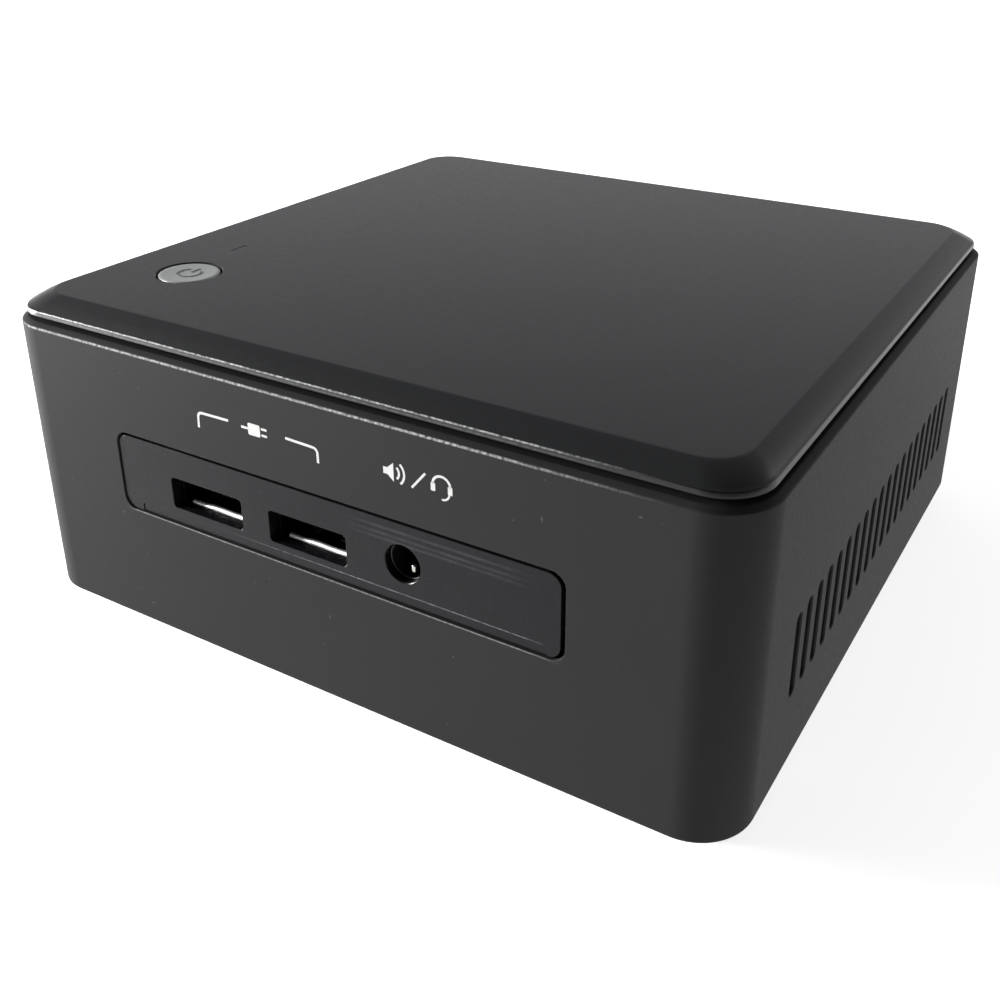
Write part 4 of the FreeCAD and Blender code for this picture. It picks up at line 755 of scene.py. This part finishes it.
def make_front_printing():
    """White signs above the recess, and the brackets that join the two socket signs."""
    left = np.concatenate([[(-19.25, 39.2)], arc(-18.45, 40.75, 0.7, 180, 92, 6),
                           [(-13.8, 41.5)]])
    right = np.concatenate([[(-4.2, 41.45)], arc(0.2, 40.6, 0.7, 88, 0, 6), [(0.9, 39.3)]])
    parts = [stroke(left, 0.36, *INK_DEPTH), stroke(right, 0.36, *INK_DEPTH)]
    parts += sign_plug(-9.0, 41.25, 1.35) + sign_loudspeaker(12.5, 41.2)
    parts.append(bar((15.1, 39.9), (17.1, 42.3), 0.3))
    parts += sign_headset(19.35, 41.25)
    piece("front_printed_signs",
          [faced(part, FRONT, 0, INK_DEPTH[1] - HALF_Y, 0) for part in parts], INK, "case_plastic")


def make_rear_printing():
    """Rear signs: barrel polarity, screen, network tree, plug and loudspeaker."""
    loop = rounded_loop(1.3, 0.75, 0.2, 4)
    parts = [stroke(arc(-38.6, 33.4, 0.9, -60, 240, 24), 0.28, *INK_DEPTH),
             moved(skin([circle_loop(0.3, 16)] * 2, INK_DEPTH), -38.6, 33.4),
             bar((-41.2, 33.4), (-39.6, 33.4), 0.28), bar((-37.5, 33.4), (-36.0, 33.4), 0.28),
             stroke(np.vstack([loop, loop[:1]]) + [-22.0, 32.8], 0.26, *INK_DEPTH),
             bar((-22.7, 31.6), (-21.3, 31.6), 0.26)]
    parts += [patch(0.5, 0.4, 0.05, 2, x, z)
              for x, z in ((12.2, 29.9), (11.1, 28.3), (13.3, 28.3))]
    parts.append(bar((11.1, 29.0), (13.3, 29.0), 0.22))
    parts += sign_plug(21.5, 32.6, 0.9) + sign_loudspeaker(38.6, 32.6)
    piece("rear_printed_signs", [faced(part, REAR_FACE, 0, REAR_PLANE, 0) for part in parts],
          INK, "case_plastic")


# ---------------------------------------------------------------- feet and screws

def make_feet():
    """Foot: a ring turned once, with a soft tread edge and a screw well."""
    names = ("front_left", "front_right", "rear_left", "rear_right")
    turn = np.linspace(0, np.pi / 2, 6)
    radii = np.concatenate([[5.8, 3.3, 3.3, 3.55, 4.6, 4.75, 4.9], 5.3 + 0.5 * np.sin(turn)])
    levels = np.concatenate([[3.8, 3.8, 0.25, 0.0, 0.0, 0.12, 0.0], 0.5 - 0.5 * np.cos(turn)])
    loops = [circle_loop(r, 56) for r in radii]
    for name, (x, y) in zip(names, CORNERS):
        piece(f"rubber_foot_{name}", [moved(skin(loops, levels, around=True), x, y)], RUBBER,
              "foot_rubber", stands_for=(f"foot_{name}",))


def cross_screw(head_radius, head_height, radius, length):
    """Pan-head screw: a domed head with a cross recess, and a shank with a turned thread.

    The thread is the shank's radius plus a small wave along the turn and the level together.
    """
    r = np.linspace(0.02, 1, 9)
    dome_r = head_radius * r
    dome_z = head_height * (1 - 0.45 * r ** 2)
    radii = np.concatenate([dome_r, [head_radius, radius]])
    levels = np.concatenate([dome_z, [0.0, 0.0]])
    head = revolve(radii, levels, 40)
    turn = np.arange(24) * 2 * np.pi / 24
    z = np.linspace(0, -length, 64)
    wave = radius + 0.09 * np.cos(turn[None, :] - 2 * np.pi * z[:, None] / 0.5) - 0.06
    loops = np.stack([wave * np.cos(turn), wave * np.sin(turn)], axis=2)
    thread = skin(loops, z)
    return head, thread


def make_screws():
    """Cover screws in the feet's wells, with a cross recess cut in each head."""
    parts, cuts = [], []
    head, thread = cross_screw(2.55, 2.0, 1.2, 7.6)
    arms = [pebble(1.35, 0.26, 0.75, 2.6, 0.1, 0.05), pebble(0.26, 1.35, 0.75, 2.6, 0.1, 0.05)]
    for x, y in CORNERS:
        parts += [faced(head, DOWN, x, y, 3.75), faced(thread, DOWN, x, y, 3.75)]
        cuts += [faced(arm, DOWN, x, y, 3.75) for arm in arms]
    heads = solid("cover_screw_heads", parts[0::2])
    for arm in (0, 1):
        carve(heads, cuts[arm::2])
    finish_piece(heads, ZINC, "screw_steel", stands_for=("cover_screws",))
    piece("cover_screw_threads", parts[1::2], ZINC, "screw_steel")


make_case()
make_lid()
make_button()
make_front_panel()
make_front_sockets()
make_rear_sockets()
make_front_printing()
make_rear_printing()
make_feet()
make_screws()


# ---------------------------------------------------------------- stage, light and camera

def floor_plane():
    """Light table: a pale matt square, 8 m across, that glows a little from below."""
    item = solid("floor", [skin([rounded_loop(4000, 4000, 10, 2)] * 2, [-2.0, 0.0])])
    paper = Finish("floor_light_table_matt", "f4f4f4", 0.95, Emission_Color=linear("ffffff"),
                   Emission_Strength=0.78)
    paper.emboss(paper.pattern(NOISE, 2.0)["Fac"], 0.02, 0.1)
    item.data.materials.append(paper.material)


def softbox(name, place, target, width, height, power):
    """Rectangular lamp that faces a point."""
    data = bpy.data.lights.new(name, "AREA")
    data.shape, data.size, data.size_y = "RECTANGLE", width, height
    data.energy = power
    item = bpy.data.objects.new(name, data)
    bpy.context.scene.collection.objects.link(item)
    item.location = place
    item.rotation_euler = (Vector(target) - Vector(place)).to_track_quat("-Z", "Y").to_euler()


def studio_sky():
    """Room that is bright near the horizon and darker overhead, with a black flag in front.

    The flag dims the room by the cosine between a direction and the flag's; the camera's own
    rays see plain white paper instead.
    """
    world = bpy.data.worlds.new("studio")
    bpy.context.scene.world = world
    world.use_nodes = True
    tree = world.node_tree
    tree.nodes.clear()
    ray = put(tree, "ShaderNodeTexCoord").outputs["Generated"]
    height = put(tree, "ShaderNodeSeparateXYZ", links={"Vector": ray})
    ramp = put(tree, "ShaderNodeValToRGB", links={"Fac": height.outputs["Z"]})
    stops = [(0.0, "ffffff"), (0.1, "f0f0f0"), (0.2, "b8b8bb"), (0.5, "a4a4a8"),
             (0.8, "9c9ca0"), (1.0, "909094")]
    bar = ramp.color_ramp
    bar.elements[0].position, bar.elements[0].color = stops[0][0], linear(stops[0][1])
    bar.elements[1].position, bar.elements[1].color = stops[-1][0], linear(stops[-1][1])
    for position, colour in stops[1:-1]:
        bar.elements.new(position).color = linear(colour)
    toward = put(tree, "ShaderNodeVectorMath", {1: FLAG}, {0: ray}, operation="DOT_PRODUCT")
    flag = put(tree, "ShaderNodeMapRange",
               {"From Min": -0.3, "From Max": 0.7, "To Min": 1.0, "To Max": 0.1},
               {"Value": toward.outputs["Value"]}, interpolation_type="SMOOTHSTEP")
    dim = put(tree, "ShaderNodeBackground", links={"Color": ramp.outputs["Color"],
                                                   "Strength": flag.outputs[0]})
    paper = put(tree, "ShaderNodeBackground", {"Color": linear("ffffff"), "Strength": 1.0})
    seen = put(tree, "ShaderNodeLightPath").outputs["Is Camera Ray"]
    both = put(tree, "ShaderNodeMixShader", links={0: seen, 1: dim.outputs[0],
                                                   2: paper.outputs[0]})
    put(tree, "ShaderNodeOutputWorld", links={"Surface": both.outputs[0]})


def make_camera():
    """Camera above the front right corner, with the framing carried by the lens shift."""
    yaw, pitch, roll = 0.5370, 0.4127, 0.0020
    data = bpy.data.cameras.new("camera")
    data.sensor_width, data.lens = 36.0, 42.205
    data.shift_x, data.shift_y = -0.02065, -0.11698
    item = bpy.data.objects.new("camera", data)
    bpy.context.scene.collection.objects.link(item)
    item.location = (0.088109, -0.153163, 0.106431)
    turn = (Matrix.Rotation(yaw, 3, "Z") @ Matrix.Rotation(math.pi / 2 - pitch, 3, "X")
            @ Matrix.Rotation(roll, 3, "Z"))
    item.rotation_euler = turn.to_euler()
    bpy.context.scene.camera = item


floor_plane()
softbox("key_left_box", (-0.76, -0.32, 0.16), (0, 0, 0.03), 0.26, 0.26, 23)
softbox("fill_right_box", (0.5, 0.5, 0.3), (0, 0, 0.03), 0.35, 0.35, 0.7)
studio_sky()
make_camera()
bpy.context.scene.view_settings.view_transform = "Standard"
